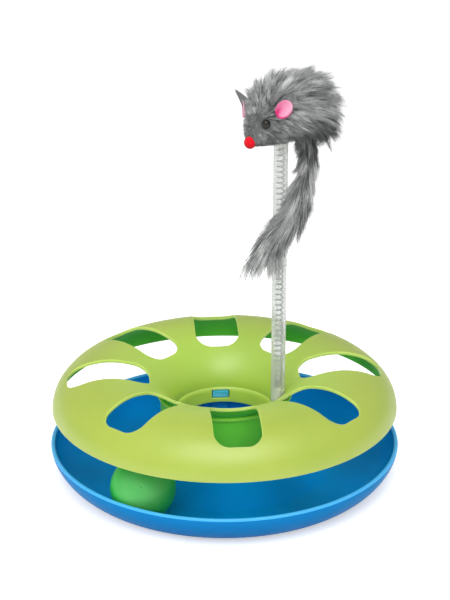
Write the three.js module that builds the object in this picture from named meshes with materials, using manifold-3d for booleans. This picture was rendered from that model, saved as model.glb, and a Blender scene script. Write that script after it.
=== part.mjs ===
// A circle track toy for cats: a blue dish in which a green ball runs round, a slotted green
// cover carried at the middle of the dish, and a fur mouse that sways on a sleeved spring.
// Millimetres, +Z up. The origin is on the floor, under the middle of the dish.
// The slots lie at whole eighths of a turn from +X, and the spring stands on a rib between two.

import * as THREE from 'three';
import { mergeVertices } from 'three/addons/utils/BufferGeometryUtils.js';
import Module from 'manifold-3d';

const wasm = await Module();
wasm.setup();

// Fits
const clearance = 0.3;

// How finely the round forms are cut
const roundSegments = 56;
const smallSegments = 18;
const ballSegments = 24;
const beadSegments = 12;
const beadRings = 8;
const wallSteps = 7;
const lipSteps = 4;
const topSteps = 7;
const underSlopeSteps = 5;
const underFunnelSteps = 6;
const slotCornerSteps = 5;
const ballSteps = 7;
const hollowSteps = 5;

// Dish
const dishRadius = 120;
const rimHeight = 24.2;
const wallReach = 20.2;
const dishWall = 2.2;
const dishCurve = 1.575;
const lipWidth = 2.8;
const trackInnerRadius = 72;
const seatHeight = 14;
const seatMargin = 2.3;
const ringWall = 2.4;
const ringHeight = 19.4;
const ringNotchGap = 1;

// Rubber feet
const footCount = 4;
const footRadius = 6;
const footProud = 0.8;
const footSink = 0.8;

// Ball
const ballRadius = 21.5;
const ballWall = 1.8;
const ballRunGap = 1.4;
const ballAzimuth = 230.6;
const ballPoleAzimuth = -94.5;
const ballPoleTilt = 30;
const spigotLength = 1.6;
const pelletRadius = 4;

// Cover
const coverRadius = 118.2;
const coverEdgeHeight = 49.4;
const crestRadius = 80.4;
const crestHeight = 77.4;
const coverWall = 2.2;
const funnelCurve = 1.85;
const hubRadius = 34;
const hubHeight = 45;
const hubHoleRadius = 31;
const hubRingDepth = 10;
const skirtRadius = 44.2;
const ledgeWidth = 2.2;
const ledgeHeight = 1.8;
const ledgeRise = 11.8;

// Slots in the cover
const slotCount = 8;
const slotFromSkirt = 7.2;
const slotRim = 10.8;
const slotWidth = 31;
const slotCorner = 10.2;

// Snap tabs of the dish and their windows in the hub ring
const tabCount = 4;
const tabAzimuth = 90;
const tabWidth = 11.4;
const tabHeight = 5.4;
const tabDrop = 1.6;
const tabFaceInset = 0.6;
const tabSlope = 1;
const postWall = 2.4;
const postGap = 0.8;

// Spring mast
const mastRadius = 38;
const mastAzimuth = -180 / slotCount;
const sleeveRadius = 4.8;
const sleeveWall = 1;
const bossWall = 2.3;
const pocketDepth = 10.6;
const plugRadius = 3;
const plugLength = 5;
const bossFloor = 1.2;
const pegRadius = 2.3;
const pegRise = 21;
const collarLength = 6;
const stubRadius = 1.6;
const stubLength = 7;
const springRadius = 2.85;
const wireDiameter = 0.9;
const springPitch = 3.7;
const closePitch = 1.5;
const closeTurns = 4;
const stepsPerTurn = 8;
const wireSides = 5;

// Mouse, in its own directions: forward, left and up from where the mast meets the belly
const bellyHeight = 239.5;
const mouseHeading = 217.5;
const bodyBack = 14;
const bodyHalfLength = 28.5;
const bodyHalfWidth = 23;
const bodyHalfHeight = 24;
const bodySink = 1;
const bodyEndShare = 0.04;
const bodySteps = 10;
const bodySides = 20;
const stemCollar = 3;
const coreRadius = 8.5;
const coreHeight = 26;
const coreLift = 2;
const domeCurve = 2.6;
const domeSteps = 5;
const stemLength = 12;
const noseRadius = 4;
const noseForward = 27.4;
const noseUp = 4.8;
const eyeRadius = 3;
const eyeForward = 21.6;
const eyeSide = 8.4;
const eyeUp = 17.4;
const rightEyeDrop = 2.2;
const earHalfWidth = 5.3;
const earHalfHeight = 7;
const earHalfThickness = 1.3;
const earForward = 14.8;
const earSide = 18.2;
const earUp = 28;
const rightEarDrop = 5.5;
const earLean = 20;
const earTurn = 38;
const earSegments = 14;
const earRings = 10;

// Cross sections of the head from its root to the muzzle: forward, half width, under, top
const headSections = [
  [2, 20.5, 0, 46],
  [9, 20, 0, 43.6],
  [15, 17.4, 0.4, 38.6],
  [20, 13, 0.8, 30.6],
  [24, 8.6, 1.4, 20.6],
  [26.6, 5, 2.2, 11.6],
];
const headSides = 18;

// Middle of the tail from its root to its tip, as offsets from the top of the mast
const tailPath = [
  [17.2, 12.8, -0.8],
  [18.4, 9.4, -16],
  [15, 0, -30],
  [8, -14.2, -46],
  [-4.4, -18.2, -64.5],
  [-14.6, -16.7, -84],
];
const tailHalfWidths = [6.4, 7.2, 7.4, 8, 9.4, 9.8];
const tailHalfDepths = [5.4, 5.6, 5.2, 5, 5, 4.4];
const tailSteps = 18;
const tailSides = 12;
const tailTipShare = 1 / 6;
const tailTipLeast = 0.06;
const tailRootLength = 6.5;
const tailRootLeast = 0.14;

// Worked out from the sizes above
const dishFootRadius = dishRadius - wallReach;
const dishUnder = footProud;
const floorTop = dishUnder + dishWall;
const ballOrbit = dishRadius - lipWidth - ballRadius - ballRunGap;
const ballHeight = floorTop + ballRadius;
const skirtInner = skirtRadius - coverWall;
const slotInner = skirtRadius + slotFromSkirt;
const slotOuter = coverRadius - slotRim;
const seatRadius = skirtRadius + seatMargin;
const ringOuter = skirtInner - clearance;
const ringInner = ringOuter - ringWall;
const hubRingBottom = hubHeight - hubRingDepth;
const pocketFloor = hubHeight - pocketDepth;
const pocketRadius = sleeveRadius + clearance;
const bossRadius = pocketRadius + bossWall;
const bossBottom = pocketFloor - plugLength - bossFloor;
const mastTurn = THREE.MathUtils.degToRad(mastAzimuth);
const mastX = mastRadius * Math.cos(mastTurn);
const mastY = mastRadius * Math.sin(mastTurn);
const pegTop = hubHeight + pegRise;
const sleeveBore = sleeveRadius - sleeveWall;
const coilRadius = springRadius - wireDiameter / 2;
const stemShoulder = bellyHeight - stemCollar;
const sleeveTop = bellyHeight + stemCollar;
const footOrbit = (trackInnerRadius + dishFootRadius) / 2;

// Materials
function paint(color, roughness, metalness = 0) {
  return new THREE.MeshStandardMaterial({ color, roughness, metalness });
}
const bluePlastic = paint(0x1f86cc, 0.35);
const greenPlastic = paint(0xa6cf4e, 0.4);
const ballPlastic = paint(0x35a24a, 0.3);
const blackRubber = paint(0x2a2a2c, 0.8);
const steel = paint(0xb9bdc0, 0.3, 1);
const clearPlastic = paint(0xdfe5e6, 0.2);
const whitePlastic = paint(0xe9e7de, 0.45);
const greyFur = paint(0x7d7f7e, 0.9);
const pinkFelt = paint(0xf48fb5, 0.9);
const redFelt = paint(0xe5183a, 0.9);
const darkBead = paint(0x24231d, 0.2);

const toy = new THREE.Group();

// Solids and meshes
function solidOf(geometry) {
  const bare = geometry.clone();
  bare.deleteAttribute('normal');
  bare.deleteAttribute('uv');
  const merged = mergeVertices(bare, 1e-4);
  const index = merged.index.array;
  const triangles = [];
  for (let i = 0; i < index.length; i += 3) {
    const [a, b, c] = [index[i], index[i + 1], index[i + 2]];
    if (a !== b && b !== c && c !== a) triangles.push(a, b, c);
  }
  const vertProperties = new Float32Array(merged.attributes.position.array);
  const triVerts = new Uint32Array(triangles);
  return new wasm.Manifold(new wasm.Mesh({ numProp: 3, vertProperties, triVerts }));
}

function geometryOf(solid) {
  const mesh = solid.getMesh();
  const geometry = new THREE.BufferGeometry();
  const positions = new Float32Array(mesh.vertProperties);
  geometry.setAttribute('position', new THREE.BufferAttribute(positions, 3));
  geometry.setIndex(new THREE.BufferAttribute(new Uint32Array(mesh.triVerts), 1));
  return geometry;
}

function addPiece(name, solid, material) {
  const mesh = new THREE.Mesh(geometryOf(solid), material);
  mesh.name = name;
  toy.add(mesh);
}

// A turned solid: the profile runs anticlockwise in radius and height
function turned(profile, segments = smallSegments) {
  const points = profile.map(([r, z]) => new THREE.Vector2(r, z));
  return new THREE.LatheGeometry(points, segments).rotateX(Math.PI / 2);
}

// A turned solid whose profile closes on itself away from the axis
function turnedRing(profile, segments = smallSegments) {
  return turned([...profile, profile[0]], segments);
}

function rod(radius, bottom, top, segments = smallSegments) {
  return turned([[0, bottom], [radius, bottom], [radius, top], [0, top]], segments);
}

// An outline in radius and height, given a width across the radius
function slice(outline, width, azimuth) {
  const shape = new THREE.Shape(outline.map(([r, z]) => new THREE.Vector2(r, z)));
  const geometry = new THREE.ExtrudeGeometry(shape, { depth: width, bevelEnabled: false });
  geometry.rotateX(Math.PI / 2);
  geometry.translate(0, width / 2, 0);
  return geometry.rotateZ(THREE.MathUtils.degToRad(azimuth));
}

// A skin through rings of points, closed at both ends by a fan
function loft(rings) {
  const count = rings[0].length;
  const positions = rings.flat().flatMap((p) => [p.x, p.y, p.z]);
  const index = [];
  for (let i = 0; i + 1 < rings.length; i += 1) {
    for (let j = 0; j < count; j += 1) {
      const a = i * count + j;
      const b = i * count + (j + 1) % count;
      index.push(a, b, b + count, a, b + count, a + count);
    }
  }
  for (const [ring, first] of [[rings[0], 0], [rings.at(-1), (rings.length - 1) * count]]) {
    const middle = ring.reduce((sum, p) => sum.add(p), new THREE.Vector3()).divideScalar(count);
    const centre = positions.length / 3;
    positions.push(middle.x, middle.y, middle.z);
    for (let j = 0; j < count; j += 1) {
      const [a, b] = [first + j, first + (j + 1) % count];
      if (first === 0) index.push(centre, b, a);
      else index.push(centre, a, b);
    }
  }
  const geometry = new THREE.BufferGeometry();
  geometry.setAttribute('position', new THREE.Float32BufferAttribute(positions, 3));
  geometry.setIndex(index);
  return geometry;
}

// Points of a quarter of a superellipse, from the first corner to the second
function superQuarter(exponent, steps, place) {
  const points = [];
  for (let i = 0; i <= steps; i += 1) {
    const angle = (i / steps) * (Math.PI / 2);
    points.push(place(Math.sin(angle) ** (2 / exponent), Math.cos(angle) ** (2 / exponent)));
  }
  return points;
}

// A path moved sideways by a wall thickness, to the left of its direction
function offsetPath(path, distance) {
  return path.map(([r, z], i) => {
    const [r0, z0] = path[Math.max(i - 1, 0)];
    const [r1, z1] = path[Math.min(i + 1, path.length - 1)];
    const length = Math.hypot(r1 - r0, z1 - z0);
    return [r - ((z1 - z0) / length) * distance, z + ((r1 - r0) / length) * distance];
  });
}

// Height of a path where it passes a radius
function heightAt(path, radius) {
  for (let i = 0; i + 1 < path.length; i += 1) {
    const [[r0, z0], [r1, z1]] = [path[i], path[i + 1]];
    if ((r0 - radius) * (r1 - radius) <= 0 && r0 !== r1) {
      return z0 + ((z1 - z0) * (radius - r0)) / (r1 - r0);
    }
  }
  return path.at(-1)[1];
}

// Dish: flat track floor, curved wall with a round lip, raised middle with a locating ring
function dishProfile() {
  const rise = rimHeight - lipWidth / 2 - dishUnder;
  const lipRadius = lipWidth / 2;
  const outside = superQuarter(dishCurve, wallSteps, (s, c) => [
    dishFootRadius + wallReach * s,
    dishUnder + rise * (1 - c),
  ]);
  const inside = offsetPath(outside, dishWall).slice(2, -1).reverse();
  const lip = [];
  for (let i = 1; i <= lipSteps; i += 1) {
    const angle = (i / lipSteps) * Math.PI;
    lip.push([
      dishRadius - lipRadius + lipRadius * Math.cos(angle),
      rimHeight - lipRadius + lipRadius * Math.sin(angle),
    ]);
  }
  const trackOuter = inside.at(-1)[0] - 2 * dishWall;
  return [
    [0, seatHeight - dishWall],
    [seatRadius - dishWall / 2, seatHeight - dishWall],
    [trackInnerRadius - dishWall / 2, dishUnder],
    ...outside,
    ...lip,
    ...inside,
    [trackOuter, floorTop],
    [trackInnerRadius, floorTop],
    [seatRadius, seatHeight],
    [ringOuter, seatHeight],
    [ringOuter, seatHeight + ringHeight],
    [ringInner, seatHeight + ringHeight],
    [ringInner, seatHeight],
    [0, seatHeight],
  ];
}

function tabOutline() {
  const top = hubHeight - tabDrop;
  const face = hubHoleRadius + tabFaceInset;
  const back = hubRadius + coverWall + postGap;
  return [
    [back, seatHeight - dishWall / 2],
    [back + postWall, seatHeight - dishWall / 2],
    [back + postWall, top + tabSlope],
    [back - tabSlope, top + tabSlope],
    [face, top - tabSlope],
    [face, top - tabHeight],
    [back, top - tabHeight],
  ];
}

function footAzimuth(i) {
  return ((i + 0.5) * 2 * Math.PI) / footCount;
}

function footPlace(geometry, i) {
  const azimuth = footAzimuth(i);
  return geometry.translate(footOrbit * Math.cos(azimuth), footOrbit * Math.sin(azimuth), 0);
}

function tabAngle(i) {
  return tabAzimuth + (i * 360) / tabCount;
}

function buildDish() {
  let dish = solidOf(turned(dishProfile(), roundSegments));
  for (let i = 0; i < tabCount; i += 1) {
    dish = dish.add(solidOf(slice(tabOutline(), tabWidth, tabAngle(i))));
  }
  for (let i = 0; i < footCount; i += 1) {
    const recess = rod(footRadius + clearance, 0, dishUnder + footSink);
    dish = dish.subtract(solidOf(footPlace(recess, i)));
  }
  const ringTop = seatHeight + ringHeight;
  const notch = rod(bossRadius + ringNotchGap, bossBottom - ringNotchGap, ringTop + ringNotchGap);
  addPiece('base_dish', dish.subtract(solidOf(mastPlace(notch))), bluePlastic);
}

function buildFeet() {
  for (let i = 0; i < footCount; i += 1) {
    const foot = footPlace(rod(footRadius, 0, dishUnder + footSink - clearance), i);
    addPiece(`foot_pad_${i + 1}`, solidOf(foot), blackRubber);
  }
}

// Cover: outer slope, crest, trumpet funnel and hub ring, seen from the edge inwards
function coverTop(slopeSteps, funnelSteps) {
  const slopeReach = coverRadius - crestRadius;
  const slopeRise = crestHeight - coverEdgeHeight;
  const slope = superQuarter(2, slopeSteps, (s, c) => [
    crestRadius + slopeReach * c,
    coverEdgeHeight + slopeRise * s,
  ]);
  const funnelReach = crestRadius - hubRadius;
  const funnelDrop = crestHeight - hubHeight;
  const funnel = superQuarter(funnelCurve, funnelSteps, (s, c) => [
    crestRadius - funnelReach * s,
    hubHeight + funnelDrop * c,
  ]);
  return [...slope, ...funnel.slice(1)];
}

function coverProfile() {
  const top = coverTop(topSteps, topSteps);
  const under = offsetPath(coverTop(underSlopeSteps, underFunnelSteps), coverWall);
  const ledgeRadius = skirtRadius + ledgeWidth;
  const ledgeBottom = hubHeight + ledgeRise;
  const inner = under.filter(([r]) => r < skirtInner).reverse();
  const outer = under.filter(([r, z]) => r > skirtRadius && z > coverEdgeHeight).reverse();
  const ringLift = hubRingDepth / 2;
  const ringThroat = (hubHoleRadius + hubRadius) / 2 - coverWall / 4;
  return [
    ...top,
    [hubRadius - coverWall / 4, hubHeight - coverWall / 8],
    [ringThroat, hubRingBottom + ringLift],
    [hubHoleRadius, hubRingBottom],
    [hubHoleRadius + coverWall, hubRingBottom],
    [ringThroat + coverWall, hubRingBottom + ringLift],
    ...inner,
    [skirtInner, heightAt(under, skirtInner)],
    [skirtInner, seatHeight + clearance],
    [skirtRadius, seatHeight + clearance],
    [skirtRadius, ledgeBottom],
    [ledgeRadius, ledgeBottom],
    [ledgeRadius, ledgeBottom + ledgeHeight],
    [skirtRadius, ledgeBottom + ledgeHeight],
    [skirtRadius, heightAt(under, skirtRadius)],
    ...outer,
    [coverRadius - coverWall, coverEdgeHeight],
  ];
}

function slotPrism(i) {
  const [x0, x1] = [slotInner, slotOuter];
  const half = slotWidth / 2;
  const corner = slotCorner;
  const shape = new THREE.Shape();
  shape.moveTo(x0 + corner, -half);
  shape.lineTo(x1 - corner, -half);
  shape.absarc(x1 - corner, -half + corner, corner, -Math.PI / 2, 0);
  shape.lineTo(x1, half - corner);
  shape.absarc(x1 - corner, half - corner, corner, 0, Math.PI / 2);
  shape.lineTo(x0 + corner, half);
  shape.absarc(x0 + corner, half - corner, corner, Math.PI / 2, Math.PI);
  shape.lineTo(x0, -half + corner);
  shape.absarc(x0 + corner, -half + corner, corner, Math.PI, 1.5 * Math.PI);
  const depth = crestHeight - coverEdgeHeight + coverWall;
  const cut = { depth, bevelEnabled: false, curveSegments: slotCornerSteps };
  const prism = new THREE.ExtrudeGeometry(shape, cut);
  prism.translate(0, 0, coverEdgeHeight);
  return prism.rotateZ((i * 2 * Math.PI) / slotCount);
}

// Everything under the funnel's skin, which trims the boss that holds the mast
function underFunnel() {
  const funnel = coverTop(topSteps, topSteps).filter(([r]) => r <= crestRadius);
  const profile = [[0, bossBottom], [crestRadius, bossBottom], ...funnel, [0, hubHeight]];
  return turned(profile, roundSegments);
}

function mastPlace(geometry) {
  return geometry.translate(mastX, mastY, 0);
}

function buildCover() {
  let cover = solidOf(turnedRing(coverProfile(), roundSegments));
  for (let i = 0; i < slotCount; i += 1) {
    cover = cover.subtract(solidOf(slotPrism(i)));
  }
  const boss = solidOf(mastPlace(rod(bossRadius, bossBottom, crestHeight)));
  const pocket = solidOf(mastPlace(rod(pocketRadius, pocketFloor, crestHeight + coverWall)));
  const boreRadius = plugRadius + clearance;
  const plugBore = solidOf(mastPlace(rod(boreRadius, bossBottom + bossFloor, pocketFloor + clearance)));
  cover = cover.add(boss.intersect(solidOf(underFunnel()))).subtract(pocket).subtract(plugBore);
  const windowTop = hubHeight - tabDrop + clearance;
  const windowBottom = hubHeight - tabDrop - tabHeight - clearance;
  const windowBack = hubRadius + coverWall + postGap;
  const windowOutline = [
    [hubHoleRadius - coverWall, windowBottom],
    [windowBack, windowBottom],
    [windowBack, windowTop + tabSlope],
    [hubHoleRadius - coverWall, windowTop],
  ];
  for (let i = 0; i < tabCount; i += 1) {
    cover = cover.subtract(solidOf(slice(windowOutline, tabWidth + 2 * clearance, tabAngle(i))));
  }
  addPiece('track_cover', cover, greenPlastic);
}

// Ball: two hollow halves with a spigot, and a loose pellet at the bottom of the hollow
function ballHalfProfile(withSpigot) {
  const inner = ballRadius - ballWall;
  const middle = ballRadius - ballWall / 2;
  const arc = (radius, from, to, steps) => {
    const points = [];
    for (let i = 0; i <= steps; i += 1) {
      const angle = from + ((to - from) * i) / steps;
      points.push([radius * Math.cos(angle), radius * Math.sin(angle)]);
    }
    return points;
  };
  const quarter = Math.PI / 2;
  const step = clearance / 2;
  const outerArc = arc(ballRadius, Math.asin(step / ballRadius), quarter, ballSteps);
  const innerArc = arc(inner, quarter, Math.asin((spigotLength + step) / inner), hollowSteps);
  outerArc.at(-1)[0] = 0;
  innerArc[0][0] = 0;
  if (withSpigot) {
    const spigot = middle - clearance / 2;
    const root = innerArc.at(-1)[0];
    return [...innerArc, [root, -spigotLength], [spigot, -spigotLength], [spigot, step], ...outerArc];
  }
  const rebate = middle + clearance / 2;
  const depth = spigotLength + clearance;
  return [...innerArc, [innerArc.at(-1)[0], depth], [rebate, depth], [rebate, step], ...outerArc];
}

function ballPlace(geometry) {
  const azimuth = THREE.MathUtils.degToRad(ballAzimuth);
  return geometry.translate(ballOrbit * Math.cos(azimuth), ballOrbit * Math.sin(azimuth), ballHeight);
}

function buildBall() {
  const tilt = THREE.MathUtils.degToRad(90 - ballPoleTilt);
  const pole = THREE.MathUtils.degToRad(ballPoleAzimuth);
  const front = turned(ballHalfProfile(true), ballSegments);
  const back = turned(ballHalfProfile(false), ballSegments).rotateX(Math.PI);
  for (const [name, half] of [['ball_front_half', front], ['ball_back_half', back]]) {
    half.rotateY(tilt).rotateZ(pole);
    addPiece(name, solidOf(ballPlace(half)), ballPlastic);
  }
  const pelletDrop = ballRadius - ballWall - pelletRadius - clearance;
  const pellet = new THREE.SphereGeometry(pelletRadius, beadSegments, beadRings);
  pellet.translate(0, 0, -pelletDrop);
  addPiece('ball_pellet', solidOf(ballPlace(pellet)), steel);
}

// Spring: one wire wound as a helix, close at its foot and open above, with straight ends
function springPoints() {
  const bottom = pegTop + clearance + wireDiameter / 2;
  const top = stemShoulder - clearance - wireDiameter / 2;
  const closeLength = closeTurns * closePitch;
  const openTurns = Math.round((top - bottom - closeLength) / springPitch);
  const openPitch = (top - bottom - closeLength) / openTurns;
  const points = [];
  for (let i = 0; i <= (closeTurns + openTurns) * stepsPerTurn; i += 1) {
    const turn = i / stepsPerTurn;
    const angle = turn * 2 * Math.PI;
    const wound = Math.min(turn, closeTurns) * closePitch + Math.max(turn - closeTurns, 0) * openPitch;
    const [x, y] = [coilRadius * Math.cos(angle), coilRadius * Math.sin(angle)];
    points.push(new THREE.Vector3(x, y, bottom + wound));
  }
  return points;
}

function leastGap(points) {
  let least = Infinity;
  for (let i = 0; i < points.length; i += 1) {
    for (let j = i + stepsPerTurn / 2; j < points.length; j += 1) {
      least = Math.min(least, points[i].distanceTo(points[j]));
    }
  }
  return least - wireDiameter;
}

function buildSpring() {
  const points = springPoints();
  console.log(`spring: least gap between turns ${leastGap(points).toFixed(2)} mm`);
  const ringAt = (middle, outward, along) => {
    const across = new THREE.Vector3().crossVectors(along, outward);
    const ring = [];
    for (let j = 0; j < wireSides; j += 1) {
      const angle = (j / wireSides) * 2 * Math.PI;
      const offset = outward.clone().multiplyScalar(Math.cos(angle));
      offset.addScaledVector(across, Math.sin(angle));
      ring.push(middle.clone().addScaledVector(offset, wireDiameter / 2));
    }
    return ring;
  };
  const outwardAt = (p) => new THREE.Vector3(p.x, p.y, 0).normalize();
  const aroundAt = (p) => new THREE.Vector3(-p.y, p.x, 0).normalize();
  const rings = points.map((p) => ringAt(p, outwardAt(p), aroundAt(p)));
  const [first, last] = [points[0], points.at(-1)];
  const before = first.clone().addScaledVector(aroundAt(first), -wireDiameter);
  const after = last.clone().addScaledVector(aroundAt(last), wireDiameter);
  rings.unshift(ringAt(before, outwardAt(first), aroundAt(first)));
  rings.push(ringAt(after, outwardAt(last), aroundAt(last)));
  addPiece('spring', solidOf(mastPlace(loft(rings))), steel);
}

// Mast: a clear sleeve over the spring, a peg in the cover's boss and a stem in the mouse
function buildMast() {
  const sleeveBottom = pocketFloor + clearance;
  const sleeve = turnedRing([
    [sleeveBore, sleeveBottom],
    [sleeveRadius, sleeveBottom],
    [sleeveRadius, sleeveTop],
    [sleeveBore, sleeveTop],
  ]);
  addPiece('spring_sleeve', solidOf(mastPlace(sleeve)), clearPlastic);
  const collarRadius = sleeveBore - clearance;
  const collarBottom = pocketFloor + clearance;
  const peg = turned([
    [0, pocketFloor - plugLength + clearance],
    [plugRadius, pocketFloor - plugLength + clearance],
    [plugRadius, collarBottom],
    [collarRadius, collarBottom],
    [collarRadius, collarBottom + collarLength],
    [pegRadius, collarBottom + collarLength + collarRadius - pegRadius],
    [pegRadius, pegTop],
    [stubRadius, pegTop],
    [stubRadius, pegTop + stubLength],
    [0, pegTop + stubLength],
  ]);
  addPiece('spring_peg', solidOf(mastPlace(peg)), whitePlastic);
  const stemTop = bellyHeight + stemCollar + stemLength;
  const stem = turned([
    [0, stemShoulder - stubLength],
    [stubRadius, stemShoulder - stubLength],
    [stubRadius, stemShoulder],
    [collarRadius, stemShoulder],
    [collarRadius, sleeveTop],
    [plugRadius, sleeveTop],
    [plugRadius, stemTop],
    [0, stemTop],
  ]);
  addPiece('mouse_stem', solidOf(mastPlace(stem)), whitePlastic);
}

// Places on the mouse
const heading = THREE.MathUtils.degToRad(mouseHeading);
const forwardWay = new THREE.Vector3(Math.cos(heading), Math.sin(heading), 0);
const leftWay = new THREE.Vector3(-Math.sin(heading), Math.cos(heading), 0);

function onMouse(forward, left, up) {
  const place = new THREE.Vector3(mastX, mastY, bellyHeight + up);
  return place.addScaledVector(forwardWay, forward).addScaledVector(leftWay, left);
}

// Oval ring across the mouse, flat where it would reach under the belly
function mouseRing(forward, halfWidth, under, top, sides, floor) {
  const ring = [];
  for (let j = 0; j < sides; j += 1) {
    const angle = (j / sides) * 2 * Math.PI;
    const up = (under + top) / 2 + ((top - under) / 2) * Math.sin(angle);
    ring.push(onMouse(forward, halfWidth * Math.cos(angle), Math.max(up, floor)));
  }
  return ring;
}

function bodyForm(grow) {
  const rings = [];
  const middle = bodyHalfHeight - bodySink;
  for (let i = 0; i <= bodySteps; i += 1) {
    const angle = Math.PI * (bodyEndShare + ((1 - 2 * bodyEndShare) * i) / bodySteps);
    const around = Math.sin(angle);
    const forward = -bodyBack - (bodyHalfLength + grow) * Math.cos(angle);
    const halfWidth = (bodyHalfWidth + grow) * around;
    const half = (bodyHalfHeight + grow) * around;
    rings.push(mouseRing(forward, halfWidth, middle - half, middle + half, bodySides, -grow));
  }
  return solidOf(loft(rings));
}

function headForm(grow) {
  const rings = headSections.map(([forward, half, under, top]) =>
    mouseRing(forward + grow, half + grow, under - grow, top + grow, headSides, -grow));
  const [forward, half, under, top] = headSections.at(-1);
  const tip = half / 2;
  const middle = (under + top) / 2;
  const tall = (top - under) / 4 + grow;
  rings.push(mouseRing(forward + tip + grow, tip + grow, middle - tall, middle + tall, headSides, -grow));
  return solidOf(loft(rings));
}

function ballAt(radius, place) {
  const bead = new THREE.SphereGeometry(radius, beadSegments, beadRings);
  return solidOf(bead.translate(place.x, place.y, place.z));
}

// Ear: a flat oval that leans out from the head and turns to the front; the right one is sewn on lower
function earForm(side) {
  const ear = new THREE.SphereGeometry(1, earSegments, earRings);
  ear.scale(earHalfThickness, earHalfWidth, earHalfHeight);
  ear.rotateX(THREE.MathUtils.degToRad(-side * earLean));
  ear.rotateZ(heading + side * THREE.MathUtils.degToRad(earTurn));
  const place = onMouse(earForward, side * earSide, side > 0 ? earUp : earUp - rightEarDrop);
  return solidOf(ear.translate(place.x, place.y, place.z));
}

function buildMouse() {
  const coreTop = bellyHeight + coreHeight;
  const dome = (grow) => superQuarter(domeCurve, domeSteps, (s, c) => [
    (coreRadius + grow) * c,
    coreTop - coreRadius + (coreRadius + grow) * s,
  ]);
  const boreTop = bellyHeight + stemCollar + stemLength + clearance;
  const sleeveSeat = sleeveTop + clearance;
  const core = turned([
    [0, boreTop],
    [plugRadius + clearance, boreTop],
    [plugRadius + clearance, sleeveSeat],
    [pocketRadius, sleeveSeat],
    [pocketRadius, bellyHeight + coreLift],
    [coreRadius, bellyHeight + coreLift],
    ...dome(0),
  ]);
  addPiece('mouse_core', solidOf(mastPlace(core)), whitePlastic);

  const hollow = solidOf(mastPlace(turned([
    [0, bellyHeight - coreLift],
    [coreRadius + clearance, bellyHeight - coreLift],
    ...dome(clearance),
  ])));
  addPiece('mouse_body', bodyForm(0).subtract(hollow), greyFur);

  const sides = { left: 1, right: -1 };
  const nose = onMouse(noseForward, 0, noseUp);
  const eyes = Object.fromEntries(Object.entries(sides).map(([name, side]) =>
    [name, onMouse(eyeForward, side * eyeSide, side > 0 ? eyeUp : eyeUp - rightEyeDrop)]));
  let head = headForm(0).subtract(bodyForm(clearance)).subtract(hollow);
  head = head.subtract(ballAt(noseRadius + clearance, nose));
  for (const name of Object.keys(sides)) {
    head = head.subtract(ballAt(eyeRadius + clearance, eyes[name]));
  }
  addPiece('mouse_head', head, greyFur);
  addPiece('mouse_nose', ballAt(noseRadius, nose), redFelt);
  for (const [name, side] of Object.entries(sides)) {
    addPiece(`mouse_eye_${name}`, ballAt(eyeRadius, eyes[name]), darkBead);
    const ear = earForm(side).subtract(headForm(clearance)).subtract(bodyForm(clearance));
    addPiece(`mouse_ear_${name}`, ear, pinkFelt);
  }
}

// Tail: a hanging strip of fur, oval in section, that passes in front of the mast
function buildTail() {
  const curve = new THREE.CatmullRomCurve3(tailPath.map(([x, y, z]) =>
    new THREE.Vector3(mastX + x, mastY + y, bellyHeight + z)));
  const sizeAt = (sizes, t) => {
    const at = t * (sizes.length - 1);
    const low = Math.min(Math.floor(at), sizes.length - 2);
    return THREE.MathUtils.lerp(sizes[low], sizes[low + 1], at - low);
  };
  const rings = [];
  for (let i = 0; i <= tailSteps; i += 1) {
    const t = i / tailSteps;
    const middle = curve.getPoint(t);
    const along = i === 0 ? new THREE.Vector3(0, 0, -1) : curve.getTangent(t);
    const depthWay = new THREE.Vector3().crossVectors(along, new THREE.Vector3(1, 0, 0)).normalize();
    const widthWay = new THREE.Vector3().crossVectors(depthWay, along);
    const fromRoot = middle.distanceTo(curve.getPoint(0)) / tailRootLength;
    const rooted = Math.min(tailRootLeast + (1 - tailRootLeast) * fromRoot, 1);
    const tip = Math.max((t - 1) / tailTipShare + 1, 0);
    const ending = rooted * Math.sqrt(Math.max(1 - tip ** 2, tailTipLeast));
    const width = sizeAt(tailHalfWidths, t) * ending;
    const depth = sizeAt(tailHalfDepths, t) * ending;
    const ring = [];
    for (let j = 0; j < tailSides; j += 1) {
      const angle = (j / tailSides) * 2 * Math.PI;
      const point = middle.clone().addScaledVector(widthWay, width * Math.cos(angle));
      ring.push(point.addScaledVector(depthWay, depth * Math.sin(angle)));
    }
    rings.push(ring);
  }
  addPiece('mouse_tail', solidOf(loft(rings)), greyFur);
}

buildDish();
buildFeet();
buildCover();
buildBall();
buildMast();
buildSpring();
buildMouse();
buildTail();

export default toy;
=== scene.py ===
import math
import bmesh
import bpy
import numpy as np
from mathutils import Matrix, Vector


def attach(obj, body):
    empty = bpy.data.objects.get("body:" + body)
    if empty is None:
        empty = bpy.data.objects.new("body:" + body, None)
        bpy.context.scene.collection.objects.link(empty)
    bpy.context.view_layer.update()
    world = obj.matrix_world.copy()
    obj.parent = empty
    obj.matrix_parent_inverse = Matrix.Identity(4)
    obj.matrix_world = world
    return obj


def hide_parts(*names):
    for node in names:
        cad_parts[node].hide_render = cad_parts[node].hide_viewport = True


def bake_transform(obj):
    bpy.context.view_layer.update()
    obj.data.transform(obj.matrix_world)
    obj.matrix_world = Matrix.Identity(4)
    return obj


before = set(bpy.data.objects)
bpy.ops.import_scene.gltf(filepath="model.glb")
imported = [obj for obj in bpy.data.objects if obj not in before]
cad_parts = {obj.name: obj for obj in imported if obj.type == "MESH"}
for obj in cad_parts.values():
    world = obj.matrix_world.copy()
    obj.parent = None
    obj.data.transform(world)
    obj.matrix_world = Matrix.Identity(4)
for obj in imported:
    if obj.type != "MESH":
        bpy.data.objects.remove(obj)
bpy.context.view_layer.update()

scene = bpy.context.scene
mm = 0.001
finish = {}  # every finish under its name
print("frame loaded with", len(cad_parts), "solids")


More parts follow.
